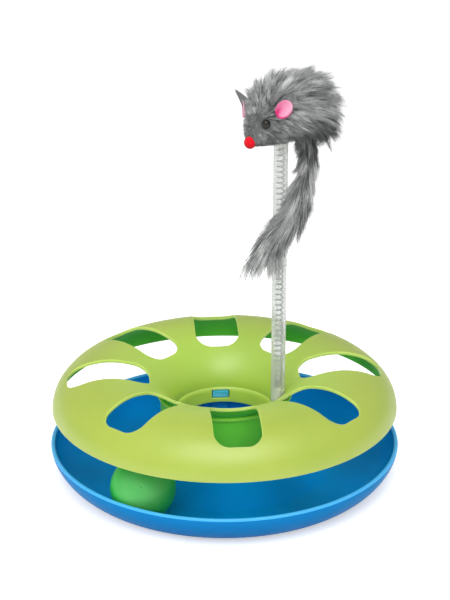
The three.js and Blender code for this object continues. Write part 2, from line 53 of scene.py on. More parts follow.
# Colours are written as they look on a screen, 0 to 255
def paint(red, green, blue):
    def linear(value):
        value /= 255
        return value / 12.92 if value <= 0.04045 else ((value + 0.055) / 1.055) ** 2.4
    return (linear(red), linear(green), linear(blue), 1.0)


# Sets sockets of a node, each to a value or to what another node gives
def setInputs(tree, node, inputs):
    for key, value in inputs.items():
        if isinstance(value, bpy.types.NodeSocket):
            tree.links.new(value, node.inputs[key])
        else:
            node.inputs[key].default_value = value


def addNode(tree, kind, inputs=None, **settings):
    node = tree.nodes.new(kind)
    for key, value in settings.items():
        setattr(node, key, value)
    setInputs(tree, node, inputs or {})
    return node


def newMaterial(name):
    material = bpy.data.materials.new(name)
    material.use_nodes = True
    finish[name] = material
    tree = material.node_tree
    where = addNode(tree, "ShaderNodeTexCoord").outputs["Object"]
    return tree, tree.nodes["Principled BSDF"], where


def addRamp(tree, factor, places, colours):
    ramp = addNode(tree, "ShaderNodeValToRGB", {"Fac": factor})
    elements = ramp.color_ramp.elements
    while len(elements) < len(colours):
        elements.new(0.5)
    for element, place, colour in zip(elements, places, colours):
        element.position = place
        element.color = colour
    return ramp.outputs["Color"]


def addNoise(tree, where, scale, detail=2.0, roughness=0.5):
    noise = addNode(tree, "ShaderNodeTexNoise", {
        "Vector": where, "Scale": scale, "Detail": detail, "Roughness": roughness})
    return noise.outputs["Fac"]


# Noise with a scale for each way, so that it can be drawn out into lines
def addStreaks(tree, where, scale, detail=2.0, roughness=0.5, turn=(0, 0, 0)):
    stretch = addNode(tree, "ShaderNodeMapping", {"Vector": where, "Rotation": turn, "Scale": scale})
    return addNoise(tree, stretch.outputs["Vector"], 1.0, detail, roughness)


def addRange(tree, value, band, low, high):
    node = addNode(tree, "ShaderNodeMapRange", {
        "Value": value, "From Min": band[0], "From Max": band[1], "To Min": low, "To Max": high})
    return node.outputs["Result"]


def addMix(tree, factor, first, second):
    return addNode(tree, "ShaderNodeMix", {0: factor, 6: first, 7: second}, data_type="RGBA").outputs[2]


def addMath(tree, operation, first, second):
    return addNode(tree, "ShaderNodeMath", {0: first, 1: second}, operation=operation).outputs[0]


def addBump(tree, height, strength, distance):
    bump = addNode(tree, "ShaderNodeBump", {"Height": height, "Strength": strength, "Distance": distance})
    return bump.outputs["Normal"]


# The tone that setTone gives each corner of a mesh
def addTone(tree):
    return addNode(tree, "ShaderNodeAttribute", attribute_name="tone").outputs["Fac"]


middleBand = (0.3, 0.7)  # where most of a noise lies

# Moulded plastic: slow colour drift, a fine eggshell skin, thin edges painted paler as painted highlight,
# and hairline scuffs
moulding = dict(drift=22, driftBand=(0.34, 0.66), funnelLightBand=(0.092, 0.055), edgeLightBand=(0.53, 0.62),
                edgeLightShare=0.8, skin=1500, patch=60, roughLess=0.04, roughMore=0.05, bump=0.12,
                bumpDepth=0.0002, bend=1.46, glowReach=0.004, scuffScale=(40, 900, 120),
                scuffTurn=(0.3, 0.2, 0.6), scuffBand=(0.62, 0.72), scuffRough=0.18, scuffDepth=0.6)
plastics = dict(
    # coverGreen: painted light, lighter and greener towards the middle of the funnel
    coverGreen=dict(body=(167, 186, 65), drift=(162, 183, 61), edgeLight=(204, 220, 116), rough=0.42, gloss=1.1,
                    glow=0.5, centre=(170, 203, 70)),
    # painted highlight: a lighter copy of the green for the rims, slot walls and rounded edges
    rimGreenLit=dict(body=(202, 226, 114), drift=(196, 222, 106), edgeLight=(214, 232, 132), rough=0.4, gloss=0.5),
    # painted shade: a deeper, brighter copy of the green for the underside, the hub ring's outer wall and
    # the skirt
    underShadeGreen=dict(body=(116, 212, 66), drift=(106, 206, 62), edgeLight=(150, 228, 98), rough=0.46, gloss=0.2,
                    glow=0.5),
    # painted shade: a darker copy of the green for the neck under the funnel
    neckShadeGreen=dict(body=(68, 176, 70), drift=(62, 170, 66), edgeLight=(98, 192, 90), rough=0.5, gloss=0.15),
    # painted highlight: a lighter copy of the green for the ledge
    ledgeLitGreen=dict(body=(146, 218, 78), drift=(138, 212, 72), edgeLight=(170, 226, 104), rough=0.42, gloss=0.25,
                    glow=0.5),
    # ballGreen: painted highlight and rim light, through the tone
    ballGreen=dict(body=(46, 188, 66), drift=(40, 182, 60), edgeLight=(120, 214, 126), rough=0.4, scuffs=0.6,
                   glow=0.6, paintedLight=(84, 180, 92)),
    # dishBlue: painted reflection on the upper wall and painted shade at the foot, through the tone
    dishBlue=dict(body=(0, 104, 166), drift=(0, 99, 161), edgeLight=(40, 152, 214), rough=0.4, gloss=0.03,
                  paintedLight=(20, 126, 192)),
    # painted light: a brighter copy of the dish blue for the inside, lifting the shade under the cover
    wellBlueLit=dict(body=(0, 144, 228), drift=(0, 138, 222), edgeLight=(50, 170, 240), rough=0.42, gloss=0.05),
    # painted light: a paler copy of the dish blue for the lit hooks of the snap posts
    postBlueLit=dict(body=(50, 164, 186), drift=(42, 158, 180), edgeLight=(110, 206, 230), rough=0.4, gloss=0.2),
    # painted highlight: a lighter copy of the dish blue for the lip
    lipHighlightBlue=dict(body=(76, 178, 238), drift=(68, 172, 234), edgeLight=(96, 192, 246), rough=0.36, gloss=0.25),
    pegWhite=dict(body=(232, 230, 222), drift=(226, 224, 214), edgeLight=(242, 241, 236), rough=0.45))


def mouldedPlastic(name, body, drift, edgeLight, rough, scuffs=0.35, gloss=0.45, glow=0.3, centre=None,
                   paintedLight=None):
    m = moulding
    tree, shader, where = newMaterial(name)
    slow = addNoise(tree, where, m["drift"], 3)
    colour = addRamp(tree, slow, m["driftBand"], (paint(*drift), paint(*body)))
    # painted light: the colour turns lighter and greener towards the middle of the funnel
    if centre:
        flat = addNode(tree, "ShaderNodeVectorMath", {0: where, 1: (1, 1, 0)}, operation="MULTIPLY")
        reach = addNode(tree, "ShaderNodeVectorMath", {0: flat.outputs["Vector"]}, operation="LENGTH")
        near = addRange(tree, reach.outputs["Value"], m["funnelLightBand"], 0, 1)
        colour = addMix(tree, near, colour, paint(*centre))
    # painted light carried by the tone: highlight and rim light on the ball, reflection and shade on the
    # dish
    if paintedLight:
        colour = addMix(tree, addTone(tree), colour, paint(*paintedLight))
    # painted highlight: thin convex edges are paler
    point = addNode(tree, "ShaderNodeNewGeometry").outputs["Pointiness"]
    rim = addRange(tree, point, m["edgeLightBand"], 0, m["edgeLightShare"])
    hair = addStreaks(tree, where, m["scuffScale"], 4, 0.7, m["scuffTurn"])
    scuff = addRange(tree, hair, m["scuffBand"], 0, scuffs)
    patch = addNoise(tree, where, m["patch"])
    worn = addRange(tree, patch, middleBand, rough - m["roughLess"], rough + m["roughMore"])
    skin = addNoise(tree, where, m["skin"])
    height = addMath(tree, "SUBTRACT", skin, addMath(tree, "MULTIPLY", scuff, m["scuffDepth"]))
    setInputs(tree, shader, {
        "Base Color": addMix(tree, rim, colour, paint(*edgeLight)),
        "Roughness": addMath(tree, "ADD", worn, addMath(tree, "MULTIPLY", scuff, m["scuffRough"])),
        "Normal": addBump(tree, height, m["bump"], m["bumpDepth"]),
        "IOR": m["bend"],
        "Specular IOR Level": gloss,
        "Subsurface Weight": glow,
        "Subsurface Radius": (1, 1, 1),
        "Subsurface Scale": m["glowReach"]})


# Clouded finishes: chalky rubber, drawn spring wire with die lines along it, and glass for the eyes
clouded = dict(
    footRubber=dict(dark=(34, 34, 36), pale=(58, 58, 60), places=(0.35, 0.7), cloud=300, detail=4,
                    rough=(0.75, 0.92),
                    grain=dict(scale=(2600, 2600, 2600), detail=3, bump=0.3, depth=0.0002)),
    springSteel=dict(dark=(98, 100, 101), pale=(126, 128, 129), cloud=500, detail=3, metal=1.0,
                     rough=(0.24, 0.4),
                     grain=dict(scale=(300, 300, 5200), detail=2, bump=0.15, depth=0.0001)),
    eyeBead=dict(dark=(20, 20, 17), pale=(38, 37, 29), cloud=240, detail=2, rough=(0.2, 0.3), gloss=0.35))


def cloudedFinish(name, dark, pale, cloud, detail, rough, places=middleBand, grain=None, metal=0.0,
                  gloss=0.5):
    tree, shader, where = newMaterial(name)
    patches = addNoise(tree, where, cloud, detail)
    setInputs(tree, shader, {
        "Base Color": addRamp(tree, patches, places, (paint(*dark), paint(*pale))),
        "Roughness": addRange(tree, patches, middleBand, *rough),
        "Metallic": metal,
        "Specular IOR Level": gloss})
    if grain:
        lines = addStreaks(tree, where, grain["scale"], grain["detail"])
        setInputs(tree, shader, {"Normal": addBump(tree, lines, grain["bump"], grain["depth"])})


# Soft clear tube with faint draw lines, clouded outside and clear in the bore
tubing = dict(body=(254, 255, 254), line=(250, 252, 250), lines=(900, 900, 14), roughOver=0.08, bump=0.06,
              depth=0.0002, bend=1.18)


def clearTubeFinish(name, clearness, rough, milk=0.0):
    t = tubing
    tree, shader, where = newMaterial(name)
    draw = addStreaks(tree, where, t["lines"], 3)
    setInputs(tree, shader, {
        "Base Color": addRamp(tree, draw, middleBand, (paint(*t["line"]), paint(*t["body"]))),
        "Roughness": addRange(tree, draw, middleBand, rough, rough + t["roughOver"]),
        "Normal": addBump(tree, draw, t["bump"], t["depth"]),
        "Transmission Weight": clearness,
        "IOR": t["bend"]})
    if milk:
        cloud = addNode(tree, "ShaderNodeBsdfTranslucent", {"Color": paint(*t["body"])})
        blend = addNode(tree, "ShaderNodeMixShader", {
            0: milk, 1: shader.outputs["BSDF"], 2: cloud.outputs["BSDF"]})
        out = next(node for node in tree.nodes if node.type == "OUTPUT_MATERIAL")
        setInputs(tree, out, {"Surface": blend.outputs["Shader"]})


# Fur: every hair carries its own tone, darker at the root and paler at the tip; painted shade is added to
# it in places
furLook = dict(colours=((70, 72, 72), (184, 186, 186), (254, 254, 254)), places=(0, 0.5, 1), fleck=420,
               fleckTone=0.06, rough=(0.62, 0.5), gloss=0.35, sheen=0.15, sheenRough=0.4)


def furFinish(name):
    k = furLook
    tree, shader, where = newMaterial(name)
    fleck = addRange(tree, addNoise(tree, where, k["fleck"]), middleBand, -k["fleckTone"], k["fleckTone"])
    shade = addMath(tree, "ADD", addTone(tree), fleck)
    setInputs(tree, shader, {
        "Base Color": addRamp(tree, shade, k["places"], [paint(*c) for c in k["colours"]]),
        "Roughness": addRange(tree, shade, (0, 1), *k["rough"]),
        "Specular IOR Level": k["gloss"],
        "Sheen Weight": k["sheen"],
        "Sheen Roughness": k["sheenRough"]})


# Backing cloth under the fur
backing = dict(dark=(66, 68, 67), pale=(98, 101, 99), cloud=160, weave=1300, weaveBand=(0, 0.6),
               rough=(0.8, 0.95), bump=0.5, depth=0.0004)


def hideFinish(name):
    k = backing
    tree, shader, where = newMaterial(name)
    cells = addNode(tree, "ShaderNodeTexVoronoi", {"Vector": where, "Scale": k["weave"]})
    weave = cells.outputs["Distance"]
    cloud = addNoise(tree, where, k["cloud"], 4)
    setInputs(tree, shader, {
        "Base Color": addRamp(tree, cloud, middleBand, (paint(*k["dark"]), paint(*k["pale"]))),
        "Roughness": addRange(tree, weave, k["weaveBand"], *k["rough"]),
        "Normal": addBump(tree, weave, k["bump"], k["depth"])})


# Felt: matted fibres, deeper in colour where the tone is low
feltLook = dict(places=(0, 0.45, 1), fibre=1900, fibreTone=0.09, rough=(0.78, 0.95), bump=0.5, depth=0.0004,
                sheen=0.1, gloss=0.25)


def feltFinish(name, *colours):
    k = feltLook
    tree, shader, where = newMaterial(name)
    fibre = addNoise(tree, where, k["fibre"], 5, 0.7)
    matted = addRange(tree, fibre, middleBand, -k["fibreTone"], k["fibreTone"])
    shade = addMath(tree, "ADD", addTone(tree), matted)
    setInputs(tree, shader, {
        "Base Color": addRamp(tree, shade, k["places"], [paint(*c) for c in colours]),
        "Roughness": addRange(tree, fibre, middleBand, *k["rough"]),
        "Normal": addBump(tree, fibre, k["bump"], k["depth"]),
        "Sheen Weight": k["sheen"],
        "Specular IOR Level": k["gloss"]})


for name, look in plastics.items():
    mouldedPlastic(name, **look)
for name, look in clouded.items():
    cloudedFinish(name, **look)
clearTubeFinish("clearTube", 0.7, 0.07, 0.36)
clearTubeFinish("clearBore", 1.0, 0.03)
furFinish("mouseFur")
hideFinish("hideBacking")
feltFinish("earFelt", (196, 48, 110), (216, 114, 153), (226, 172, 192))
feltFinish("noseFelt", (172, 0, 16), (204, 0, 24), (222, 6, 34))
print("finishes mixed:", len(finish))


# How far a value is from start to end, held between 0 and 1
def fade(value, start, end):
    return np.clip((value - start) / (end - start), 0, 1)


def unit(vectors):
    return vectors / np.maximum(np.linalg.norm(vectors, axis=-1, keepdims=True), 1e-9)


# One tone for each corner of a mesh, which its finish reads
def setTone(mesh, values):
    tones = mesh.attributes.new("tone", "FLOAT", "POINT")
    tones.data.foreach_set("value", np.asarray(values, np.float32).ravel())


def smoothMesh(mesh, crease):
    mesh.polygons.foreach_set("use_smooth", [True] * len(mesh.polygons))
    if crease:
        mesh.set_sharp_from_angle(angle=math.radians(crease))
    mesh.update()


# Meshes are worked out in millimetres and stored in metres. With a crease of 0 no edge is sharp
def makeMesh(name, points, faces, crease=42, merge=0.002, skins=None, tones=None):
    mesh = bpy.data.meshes.new(name)
    mesh.from_pydata((np.asarray(points, float) * mm).tolist(), [], faces)
    if skins:
        mesh.polygons.foreach_set("material_index", skins)
    if tones is not None:
        setTone(mesh, tones)
    work = bmesh.new()
    work.from_mesh(mesh)
    bmesh.ops.remove_doubles(work, verts=work.verts, dist=merge * mm)
    bmesh.ops.recalc_face_normals(work, faces=work.faces)
    work.to_mesh(mesh)
    work.free()
    smoothMesh(mesh, crease)
    return mesh


def addToScene(name, data):
    obj = bpy.data.objects.new(name, data)
    scene.collection.objects.link(obj)
    return obj


def makeObject(name, mesh, *finishes):
    for each in finishes:
        mesh.materials.append(finish[each])
    return addToScene(name, mesh)


def makePiece(name, points, faces, *finishes, **shape):
    return makeObject(name, makeMesh(name, points, faces, **shape), *finishes)


def settle(obj, body, slot, *nodes):
    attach(obj, body)
    if nodes:
        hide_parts(*nodes)
    return obj


# Rounds every edge sharper than the angle
def softenEdges(obj, width, segments, angle):
    bevel = obj.modifiers.new("soft", "BEVEL")
    bevel.width = width * mm
    bevel.segments = segments
    bevel.limit_method = "ANGLE"
    bevel.angle_limit = math.radians(angle)
    return bevel


def keepModifiers(obj, crease=42):
    graph = bpy.context.evaluated_depsgraph_get()
    graph.update()
    made = bpy.data.meshes.new_from_object(obj.evaluated_get(graph), depsgraph=graph)
    old = obj.data
    obj.modifiers.clear()
    obj.data = made
    bpy.data.meshes.remove(old)
    smoothMesh(made, crease)


# Quads between rows of points, each row a ring
def ringFaces(rows, around, first=0, skip=None):
    faces = []
    for i in range(rows - 1):
        low, high = first + i * around, first + (i + 1) * around
        for k in range(around):
            n = (k + 1) % around
            if not (skip and skip(i, k)):
                faces.append((low + k, low + n, high + n, high + k))
    return faces


def endFaces(rows, around):
    return [list(reversed(range(around))), list(range((rows - 1) * around, rows * around))]


columnShift = 0.37  # no column lies on an axis, where a line would show in the shading


# Turns a profile of (radius, height) about the upright axis
def lathe(profile, segments, closed=False):
    points, faces, rows = [], [], []
    turns = [2 * math.pi * (k + columnShift) / segments for k in range(segments)]
    for radius, height in profile:
        if radius < 1e-6:
            rows.append([len(points)])
            points.append((0, 0, height))
        else:
            rows.append(list(range(len(points), len(points) + segments)))
            points += [(radius * math.cos(a), radius * math.sin(a), height) for a in turns]
    pairs = list(zip(rows, rows[1:]))
    if closed:
        pairs.append((rows[-1], rows[0]))
    for low, high in pairs:
        for k in range(segments):
            n = (k + 1) % segments
            if len(low) == 1 and len(high) == 1:
                continue
            if len(low) == 1:
                faces.append((low[0], high[n], high[k]))
            elif len(high) == 1:
                faces.append((low[k], low[n], high[0]))
            else:
                faces.append((low[k], low[n], high[n], high[k]))
    return np.array(points, float), faces


# Rounds the corners of a profile: each point is (radius, height, rounding)
def roundCorners(corners, steps=4, closed=False):
    made = []
    count = len(corners)
    for i, (r, z, size) in enumerate(corners):
        inside = closed or 0 < i < count - 1
        if size <= 0 or not inside:
            made.append((r, z))
            continue
        here = np.array((r, z))
        before = np.array(corners[i - 1][:2]) - here
        after = np.array(corners[(i + 1) % count][:2]) - here
        reach = min(size, 0.45 * np.linalg.norm(before), 0.45 * np.linalg.norm(after))
        start, end = here + unit(before) * reach, here + unit(after) * reach
        for k in range(steps + 1):
            u = k / steps
            made.append(tuple((1 - u) ** 2 * start + 2 * u * (1 - u) * here + u ** 2 * end))
    return made


def arcPoints(x, y, radius, fromAngle, toAngle, steps=16):
    turn = np.radians(np.linspace(fromAngle, toAngle, steps + 1))
    return [(x + radius * math.cos(a), y + radius * math.sin(a)) for a in turn]


def pathOffset(path, distance):
    path = np.array(path, float)
    along = unit(np.gradient(path, axis=0))
    return path + distance * np.stack([-along[:, 1], along[:, 0]], axis=1)


# Quarter of a superellipse, as a share across and a share up
def superQuarter(exponent, steps):
    turn = np.linspace(0, math.pi / 2, steps + 1)
    return np.sin(turn) ** (2 / exponent), np.abs(np.cos(turn)) ** (2 / exponent)


# A line with its points spread evenly along it
def resample(line, steps):
    line = np.array(line, float)
    length = np.concatenate([[0], np.cumsum(np.linalg.norm(np.diff(line, axis=0), axis=1))])
    even = np.linspace(0, length[-1], steps + 1)
    return np.stack([np.interp(even, length, line[:, k]) for k in (0, 1)], axis=1)


# Where the mast stands, and the boss that holds it
boss = dict(orbit=38.0, azimuth=-22.5, radius=7.4, pocket=5.1, bottom=28.2, pocketFloor=34.4,
            pocketGap=0.02, underHub=0.15, underSkin=0.5, soft=0.35, softAngle=40, segments=56)
mastAxis = (boss["orbit"] * math.cos(math.radians(boss["azimuth"])),
            boss["orbit"] * math.sin(math.radians(boss["azimuth"])))


def onMast(points):
    return np.asarray(points) + np.array((*mastAxis, 0))


# Drills a piece round the mast, once its other modifiers have done their work
def drillAtMast(obj, radius, low, high, crease=42):
    points, faces = lathe([(0, low), (radius, low), (radius, high), (0, high)], boss["segments"])
    drill = makePiece("drill", onMast(points), faces)
    drill.hide_render = True
    cut = obj.modifiers.new("cut", "BOOLEAN")
    cut.operation = "DIFFERENCE"
    cut.solver = "EXACT"
    cut.object = drill
    keepModifiers(obj, crease)
    bpy.data.objects.remove(drill)


# Dish: flat track, curved wall with a round lip, raised seat with a locating ring notched for the boss
dish = dict(radius=120.0, rim=24.2, foot=99.8, wall=2.2, curve=1.575, curveSteps=30, lip=2.8, lipSteps=12,
            lipRows=3, under=0.8, underRounds=(2.0, 1.5), trackIn=72.0, floorGap=0.4, floorBack=4.5,
            floorRound=3.0, seat=14.0, seatRadius=46.5, seatRound=1.6, ringOut=41.7, ringIn=39.3,
            ringRise=19.4, ringFoot=0.8, ringRound=0.6, notchGap=1.0, notchOver=4.0, faceUp=0.3,
            faceIn=-0.05, reflectionFrom=6.0, reflectionTo=21.0, segments=176)


def buildDish():
    d = dish
    half = d["lip"] / 2
    across, up = superQuarter(d["curve"], d["curveSteps"])
    rise = d["rim"] - half - d["under"]
    outside = np.stack([d["foot"] + (d["radius"] - d["foot"]) * across,
                        d["under"] + rise * (1 - up)], axis=1)
    floorTop = d["under"] + d["wall"]
    inside = pathOffset(outside, d["wall"])
    inside = inside[inside[:, 1] > floorTop + d["floorGap"]][:-d["lipRows"]][::-1]
    lip = arcPoints(d["radius"] - half, d["rim"] - half, half, 0, 180, d["lipSteps"])[1:]
    seatUnder, top = d["seat"] - d["wall"], d["seat"] + d["ringRise"]
    corners = [(0, seatUnder, 0),
               (d["seatRadius"] - d["wall"] / 2, seatUnder, d["underRounds"][0]),
               (d["trackIn"] - d["wall"] / 2, d["under"], d["underRounds"][1])]
    corners += [(r, z, 0) for r, z in (*outside, *lip, *inside)]
    corners += [(inside[-1][0] - d["floorBack"], floorTop, d["floorRound"]),
                (d["trackIn"], floorTop, d["floorRound"]), (d["seatRadius"], d["seat"], d["seatRound"]),
                (d["ringOut"], d["seat"], d["ringFoot"]), (d["ringOut"], top, d["ringRound"]),
                (d["ringIn"], top, d["ringRound"]), (d["ringIn"], d["seat"], d["ringFoot"]),
                (0, d["seat"], 0)]
    points, faces = lathe(roundCorners(corners), d["segments"])
    shell = makePiece("dishShell", points, faces, "dishBlue", "lipHighlightBlue", "wellBlueLit")
    # the inside takes the brighter well blue as painted light and the lip a painted highlight
    for face in shell.data.polygons:
        outward = Vector((*face.center.xy, 0)).normalized()
        inner = face.normal.z > d["faceUp"] or face.normal.dot(outward) < d["faceIn"]
        wall = face.center.xy.length > d["trackIn"] * mm
        onLip = wall and face.center.z > (d["rim"] - half) * mm
        face.material_index = 1 if onLip else 2 if inner else 0
    gap = d["notchGap"]
    drillAtMast(shell, boss["radius"] + gap, boss["bottom"] - gap, top + d["notchOver"])
    heights = np.array([v.co.z for v in shell.data.vertices]) / mm
    # painted reflection on the upper wall and painted shade at the foot: the tone is paler towards the lip
    setTone(shell.data, fade(heights, d["reflectionFrom"], d["reflectionTo"]))  # paler towards the lip
    settle(shell, "frame", "blue_plastic", "base_dish")


# Snap posts that stand on the seat and hook through the hub ring
snapPosts = dict(count=4, first=90.0, width=11.4, height=5.4, drop=1.6, face=31.6, back=37.0, wall=2.4,
                 slope=1.0, hub=45.0, soft=0.5, softAngle=30, litBelowHook=0.5)


def buildSnapPosts():
    p = snapPosts
    top = p["hub"] - p["drop"]
    low, high = top - p["slope"], top + p["slope"]
    hook = top - p["height"]
    outer = p["back"] + p["wall"]
    outline = [(p["back"], dish["seat"]), (outer, dish["seat"]), (outer, high),
               (p["back"] - p["slope"], high), (p["face"], low), (p["face"], hook), (p["back"], hook)]
    count = len(outline)
    points, faces = [], []
    for i in range(p["count"]):
        angle = math.radians(p["first"] + 360 * i / p["count"])
        first = len(points)
        for across in (-p["width"] / 2, p["width"] / 2):
            points += [(r * math.cos(angle) - across * math.sin(angle),
                        r * math.sin(angle) + across * math.cos(angle), z) for r, z in outline]
        faces.append([first + k for k in range(count)])
        faces.append([first + count + k for k in reversed(range(count))])
        for k in range(count):
            n = (k + 1) % count
            faces.append([first + k, first + count + k, first + count + n, first + n])
    posts = makePiece("snapPosts", points, faces, "dishBlue", "postBlueLit")
    softenEdges(posts, p["soft"], 3, p["softAngle"])
    keepModifiers(posts)
    # the hooks take the paler blue as painted light
    for face in posts.data.polygons:
        face.material_index = int(face.center.z > (hook - p["litBelowHook"]) * mm)
    settle(posts, "frame", "blue_plastic")


# Rubber feet pressed into the underside, each with a groove round its middle
footPads = dict(count=4, radius=6.0, proud=0.78, round=0.3, roundTop=0.05, orbit=85.9, segments=48,
                groove=[(3.6, 0), (3.7, 0.2), (4.3, 0.2), (4.4, 0)])


def buildFeet():
    f = footPads
    corners = [(0, 0, 0)] + [(r, z, 0) for r, z in f["groove"]]
    corners += [(f["radius"], 0, f["round"]), (f["radius"], f["proud"], f["roundTop"]), (0, f["proud"], 0)]
    points, faces = lathe(roundCorners(corners), f["segments"])
    for i in range(f["count"]):
        angle = 2 * math.pi * (i + 0.5) / f["count"]
        spot = points + np.array((f["orbit"] * math.cos(angle), f["orbit"] * math.sin(angle), 0))
        pad = makePiece(f"footPad{i + 1}", spot, faces, "footRubber")
        settle(pad, "frame", "foot_rubber", f"foot_pad_{i + 1}")


buildDish()
buildSnapPosts()
buildFeet()
print("dish, posts and feet are in place")


# Cover: slope, crest and trumpet funnel with eight slots, and the hub ring with its snap windows
cover = dict(edgeRadius=118.2, edgeHeight=49.4, crestRadius=80.4, crestHeight=77.4, wall=2.2, curve=1.85,
             hubRadius=34.0, hubHeight=45.0, slots=8, slotIn=51.4, slotOut=107.4, slotWidth=31.0,
             slotCorner=10.2, sectorIn=47.8, sectorOut=111.4, across=24, along=28, rings=8, crowd=1.25,
             edgeRows=12, funnelRows=16, soft=0.55, softAngle=38, crease=40, merge=0.005,
             drillOver=8.0)
hubRing = dict(inner=[(34.0, 45.0), (33.45, 44.72), (32.72, 43.7), (32.3, 42.0), (31.95, 40.0),
                      (31.5, 37.7), (31.2, 36.2), (31.0, 35.0)],
               outer=[(36.2, 45.0), (34.95, 43.7), (34.5, 42.0), (34.15, 40.0), (33.7, 37.7), (33.4, 36.2),
                      (33.2, 35.0)],
               windowRows=dict(inner=(2, 5), outer=(1, 4)), windowHalf=6)
skirt = dict(outer=44.2, inner=42.0, bottom=14.3, ledgeOut=46.4, ledgeLow=56.8, ledgeHigh=58.6, sink=0.9,
             footRound=0.5, ledgeRound=0.4, neckRound=0.3, margin=0.1, segments=160)


def coverPath(steps=160):
    c = cover
    up, out = superQuarter(2, steps)
    slope = np.stack([c["crestRadius"] + (c["edgeRadius"] - c["crestRadius"]) * out,
                      c["edgeHeight"] + (c["crestHeight"] - c["edgeHeight"]) * up], axis=1)
    into, up = superQuarter(c["curve"], steps)
    funnel = np.stack([c["crestRadius"] - (c["crestRadius"] - c["hubRadius"]) * into,
                       c["hubHeight"] + (c["crestHeight"] - c["hubHeight"]) * up], axis=1)
    return np.concatenate([slope, funnel[1:]])


coverTop = coverPath()
coverUnder = pathOffset(coverTop, cover["wall"])
coverUnder[0] = (cover["edgeRadius"] - cover["wall"], cover["edgeHeight"])
coverUnder[-1] = hubRing["outer"][0]


def skinHeight(path, radius):
    return np.interp(radius, path[::-1, 0], path[::-1, 1])


# Part of a path between two radii
def pathStretch(path, fromRadius, toRadius, steps):
    inside = path[(path[:, 0] < fromRadius) & (path[:, 0] > toRadius)]
    start, end = ([(radius, skinHeight(path, radius))] for radius in (fromRadius, toRadius))
    return resample(np.concatenate([start, inside, end]), steps)


# Slot outline and the sector around it, point for point
def slotLoops():
    c = cover
    across, along, size = c["across"], c["along"], c["slotCorner"]
    x0, x1, y = c["slotIn"] + size, c["slotOut"] - size, c["slotWidth"] / 2 - size
    inner = arcPoints(x0, -y, size, 225, 180) + arcPoints(x0, y, size, 180, 135)
    upper = arcPoints(x0, y, size, 135, 90) + arcPoints(x1, y, size, 90, 45)
    outer = arcPoints(x1, y, size, 45, 0) + arcPoints(x1, -y, size, 0, -45)
    lower = arcPoints(x1, -y, size, -45, -90) + arcPoints(x0, -y, size, 270, 225)
    sides = ((inner, across), (upper, along), (outer, across), (lower, along))
    slot = np.concatenate([resample(line, steps)[:-1] for line, steps in sides])
    half = 180 / c["slots"]
    arcIn = arcPoints(0, 0, c["sectorIn"], -half, half, across)
    arcOut = arcPoints(0, 0, c["sectorOut"], half, -half, across)
    sector = np.concatenate([arcIn[:-1], resample([arcIn[-1], arcOut[0]], along)[:-1],
                             arcOut[:-1], resample([arcOut[-1], arcIn[0]], along)[:-1]])
    return slot, sector


def buildCover():
    c = cover
    points, faces, skins = [], [], []
    outerSkin, shadeSkin, litRimSkin = 0, 1, 2

    def addRows(rows, skin, skip=None):
        made = ringFaces(len(rows), len(rows[0]), len(points), skip)
        points.extend(map(tuple, np.concatenate(rows)))
        faces.extend(made)
        skins.extend([skin] * len(made))

    segments = c["slots"] * c["across"]
    turns = np.radians(-180 / c["slots"] + 360 * np.arange(segments) / segments)

    def ring(radius, height):
        return np.stack([radius * np.cos(turns), radius * np.sin(turns), np.full(segments, height)], axis=1)

    slot, sector = slotLoops()
    # the under side takes the deeper green as painted shade
    for path, skin in ((coverTop, outerSkin), (coverUnder, shadeSkin)):
        outer = pathStretch(path, path[0, 0], c["sectorOut"], c["edgeRows"])
        inner = pathStretch(path, c["sectorIn"], path[-1, 0], c["funnelRows"])
        addRows([ring(r, z) for r, z in outer], skin)
        addRows([ring(r, z) for r, z in inner], skin)
        for i in range(c["slots"]):
            angle = 2 * math.pi * i / c["slots"]
            spin = np.array([[math.cos(angle), math.sin(angle)], [-math.sin(angle), math.cos(angle)]])
            rows = []
            for share in np.linspace(0, 1, c["rings"] + 1) ** c["crowd"]:
                flat = (slot * (1 - share) + sector * share) @ spin
                rows.append(np.column_stack([flat, skinHeight(path, np.hypot(flat[:, 0], flat[:, 1]))]))
            addRows(rows, skin)
            # the slot walls take the lit rim green, painted lighter than the shade that falls on them
            if skin == shadeSkin:
                top = rows[0].copy()
                top[:, 2] = skinHeight(coverTop, np.hypot(top[:, 0], top[:, 1]))
                addRows([top, rows[0]], litRimSkin)
    addRows([ring(*coverTop[0]), ring(*coverUnder[0])], litRimSkin)

    # the hub ring, with a window for each snap post
    degrees = [snapPosts["first"] + 360 * i / snapPosts["count"] for i in range(snapPosts["count"])]
    windows = [round((d + 180 / c["slots"]) / 360 * segments) for d in degrees]
    half = hubRing["windowHalf"]

    def inWindow(k):
        return any((k - w + half) % segments < 2 * half for w in windows)

    walls = []
    for side, skin in (("inner", outerSkin), ("outer", shadeSkin)):
        rows = [ring(r, z) for r, z in hubRing[side]]
        low, high = hubRing["windowRows"][side]
        addRows(rows, skin, lambda i, k: low <= i < high and inWindow(k))
        walls.append((rows, low, high))
    addRows([ring(*hubRing["inner"][-1]), ring(*hubRing["outer"][-1])], outerSkin)
    for w in windows:
        span = [(w - half + k) % segments for k in range(2 * half + 1)]
        loops = []
        for rows, low, high in walls:
            loop = [rows[low][k] for k in span] + [rows[i][span[-1]] for i in range(low + 1, high)]
            loop += [rows[high][k] for k in reversed(span)]
            loop += [rows[i][span[0]] for i in range(high - 1, low, -1)]
            loops.append(np.array(loop))
        addRows(loops, outerSkin)

    shell = makePiece("coverShell", points, faces, "coverGreen", "underShadeGreen", "rimGreenLit",
                      crease=0, merge=c["merge"], skins=skins)
    # the rounded edges take the lit rim green as painted highlight
    softenEdges(shell, c["soft"], 3, c["softAngle"]).material = litRimSkin
    over = c["crestHeight"] + c["drillOver"]
    drillAtMast(shell, boss["pocket"], boss["pocketFloor"], over, c["crease"])
    settle(shell, "frame", "green_plastic", "track_cover")


